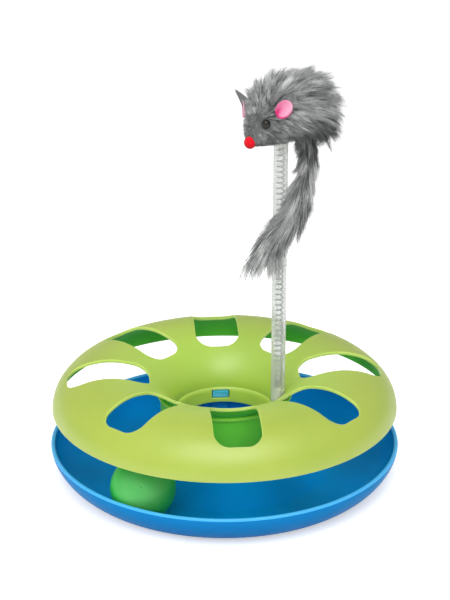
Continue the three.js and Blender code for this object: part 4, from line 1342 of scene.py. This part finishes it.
def buildTailFur():
    k = tailFur
    count, tufts, locks = k["hairs"], k["tufts"], k["locks"]
    rng = np.random.default_rng(k["seed"])
    root = rng.uniform(k["start"], tail["stripEnd"], count)
    turn = rng.random(count) * 2 * math.pi
    right = np.cos(turn)
    length = k["length"] * varied(rng, count, *k["lengths"])
    length *= 1 + k["longer"] * fade(-right, 0, 1) * fade(root, *k["longerAt"])
    share = np.linspace(0, 1, k["steps"])
    at = root[:, None] + length[:, None] / tail["span"] * share
    middle, across, depth = tailFrame(at)
    # hairs of the right flank hang straight down instead of following the curl
    hang = fade(right * k["hangSharp"], *k["hangTurn"]) * np.interp(root, k["hangAt"], [0, 1, 1, 0])
    straight = middle[:, :1] - upWay * (length[:, None] * share)[:, :, None] * k["hangDrop"]
    middle = middle + (straight - middle) * (hang * k["hang"])[:, None, None]
    fill = np.sqrt(rng.uniform(*k["fill"], count))
    fill *= np.where(rng.random(count) < k["strays"], k["strayReach"], 1.0)
    grow = fill[:, None] * (k["growFrom"] + (1 - k["growFrom"]) * share[None] ** k["growCurve"])
    spots = np.linspace(0, 1, len(k["halfWidth"]))
    wide = np.interp(at, spots, k["halfWidth"]) * right[:, None] * grow
    # the left flank is drawn in above the curl
    wide *= np.where(wide < 0, np.interp(at, k["drawnAt"], k["drawnIn"]), 1.0)
    deep = np.interp(at, spots, k["halfDepth"]) * np.sin(turn)[:, None] * grow
    path = middle + across * wide[:, :, None] + depth * deep[:, :, None]
    tuft = shareTufts(rng, path[:, 2], tufts)
    tuftTurn = rng.normal(0, k["tuftSpread"], (tufts, 3))[tuft]
    path += tuftTurn[:, None] * (share ** k["tuftCurve"])[None, :, None]
    hairTurn = rng.normal(0, k["hairSpread"], (count, 3))
    path += hairTurn[:, None] * (share ** k["hairCurve"])[None, :, None]
    path = gatherTips(path, tuft, tufts, np.full(count, k["gather"]))
    lock = shareTufts(rng, path[:, 3], locks)
    base = np.interp(root, k["toneAt"], k["tones"]) + k["tuftTone"] * rng.normal(0, 1, tufts)[tuft]
    base += k["lockTone"] * rng.normal(0, 1, locks)[lock] + rng.normal(0, k["hairTone"], count)
    # painted shade: the tail is darker at its root, where it meets the body
    base -= k["rootShade"] * fade(root, *k["rootAt"])
    tones = base[:, None] + k["tip"] * (share[None] - k["tipMiddle"])
    widths = k["width"] * varied(rng, count, *combing["hairWidth"])
    fur = makeFur("tailFur", path, widths, tones)
    hangWithTail(fur)


buildTailStrip()
buildTailFur()
print("tail hangs")

# Solids that stay as they are, inside the ball and the mouse
for node, look in (("ball_pellet", "springSteel"), ("mouse_core", "pegWhite")):
    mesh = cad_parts[node].data
    mesh.materials.clear()
    mesh.materials.append(finish[look])


# Studio: a flat white floor, a lamp overhead, a wide soft lamp in front and one at the left
studio = dict(floor=0.93, floorGrain=0.02, floorGlow=0.46, floorSize=8.0, air=0.56, lamps=[
    dict(place=(-0.05, -0.72, 1.36), aim=(0, 0, 0.06), size=(1.05, 1.05), power=12.4, mirrored=True),
    dict(place=(-0.3, -1.6, 1.05), aim=(0, 0, 0.08), size=(1.7, 1.0), power=9.4, mirrored=False),
    dict(place=(-1.5, -0.6, 0.9), aim=(0, 0, 0.1), size=(0.5, 0.5), power=3.6, mirrored=False)])


def aimAt(obj, place, way):
    obj.location = place
    obj.rotation_euler = way.to_track_quat("-Z", "Y").to_euler()


def buildFloor():
    s = studio
    half = s["floorSize"] / 2
    mesh = bpy.data.meshes.new("studioFloor")
    corners = [(-half, -half, 0), (half, -half, 0), (half, half, 0), (-half, half, 0)]
    mesh.from_pydata(corners, [], [(0, 1, 2, 3)])
    tree, shader, where = newMaterial("studioPaper")
    tree.nodes.remove(shader)
    whites = [(white, white, white, 1) for white in (s["floor"], s["floor"] + s["floorGrain"])]
    matte = addNode(tree, "ShaderNodeBsdfDiffuse", {
        "Color": addRamp(tree, addNoise(tree, where, 3), middleBand, whites)})
    # the paper glows only to the camera, in reflections and through the clear tube
    rays = addNode(tree, "ShaderNodeLightPath").outputs
    mirrored = addMath(tree, "MAXIMUM", rays["Is Glossy Ray"], rays["Is Transmission Ray"])
    seen = addMath(tree, "MAXIMUM", rays["Is Camera Ray"], mirrored)
    glow = addNode(tree, "ShaderNodeEmission", {
        "Color": (1, 1, 1, 1), "Strength": addMath(tree, "MULTIPLY", seen, s["floorGlow"])})
    both = addNode(tree, "ShaderNodeAddShader", {0: matte.outputs[0], 1: glow.outputs[0]})
    out = next(node for node in tree.nodes if node.type == "OUTPUT_MATERIAL")
    setInputs(tree, out, {"Surface": both.outputs[0]})
    floor = makeObject("studioFloor", mesh, "studioPaper")


def buildLights():
    s = studio
    world = bpy.data.worlds.new("studioAir")
    scene.world = world
    world.use_nodes = True
    tree = world.node_tree
    tree.nodes.clear()
    air = addNode(tree, "ShaderNodeBackground", {"Color": (1, 1, 1, 1), "Strength": s["air"]})
    addNode(tree, "ShaderNodeOutputWorld", {"Surface": air.outputs[0]})
    for i, each in enumerate(s["lamps"]):
        lamp = bpy.data.lights.new(f"softLamp{i + 1}", "AREA")
        lamp.shape = "RECTANGLE"
        lamp.size, lamp.size_y = each["size"]
        lamp.energy = each["power"]
        holder = addToScene(f"softLamp{i + 1}", lamp)
        holder.visible_glossy = each["mirrored"]
        aimAt(holder, each["place"], Vector(each["aim"]) - Vector(each["place"]))


# Camera: found from the photograph's ellipses, for a picture of 450 by 600
camera = dict(focal=1700.0, tall=600.0, sensor=36.0, away=1143.8, elevation=21.925, azimuth=-5.0, aimX=0.29,
              aimZ=125.23)


def buildCamera():
    c = camera
    lens = bpy.data.cameras.new("camera")
    lens.sensor_width = c["sensor"]
    lens.lens = c["focal"] / c["tall"] * c["sensor"]
    lens.clip_start, lens.clip_end = 0.01, 50
    tip = math.radians(c["elevation"])
    turn = Matrix.Rotation(math.radians(c["azimuth"]), 3, "Z")
    aim = turn @ Vector((c["aimX"], 0, c["aimZ"])) * mm
    back = turn @ Vector((0, -math.cos(tip), math.sin(tip)))
    holder = addToScene("camera", lens)
    aimAt(holder, aim + back * c["away"] * mm, -back)
    scene.camera = holder


buildFloor()
buildLights()
buildCamera()
scene.view_settings.view_transform = "Standard"
print("studio and camera are set")
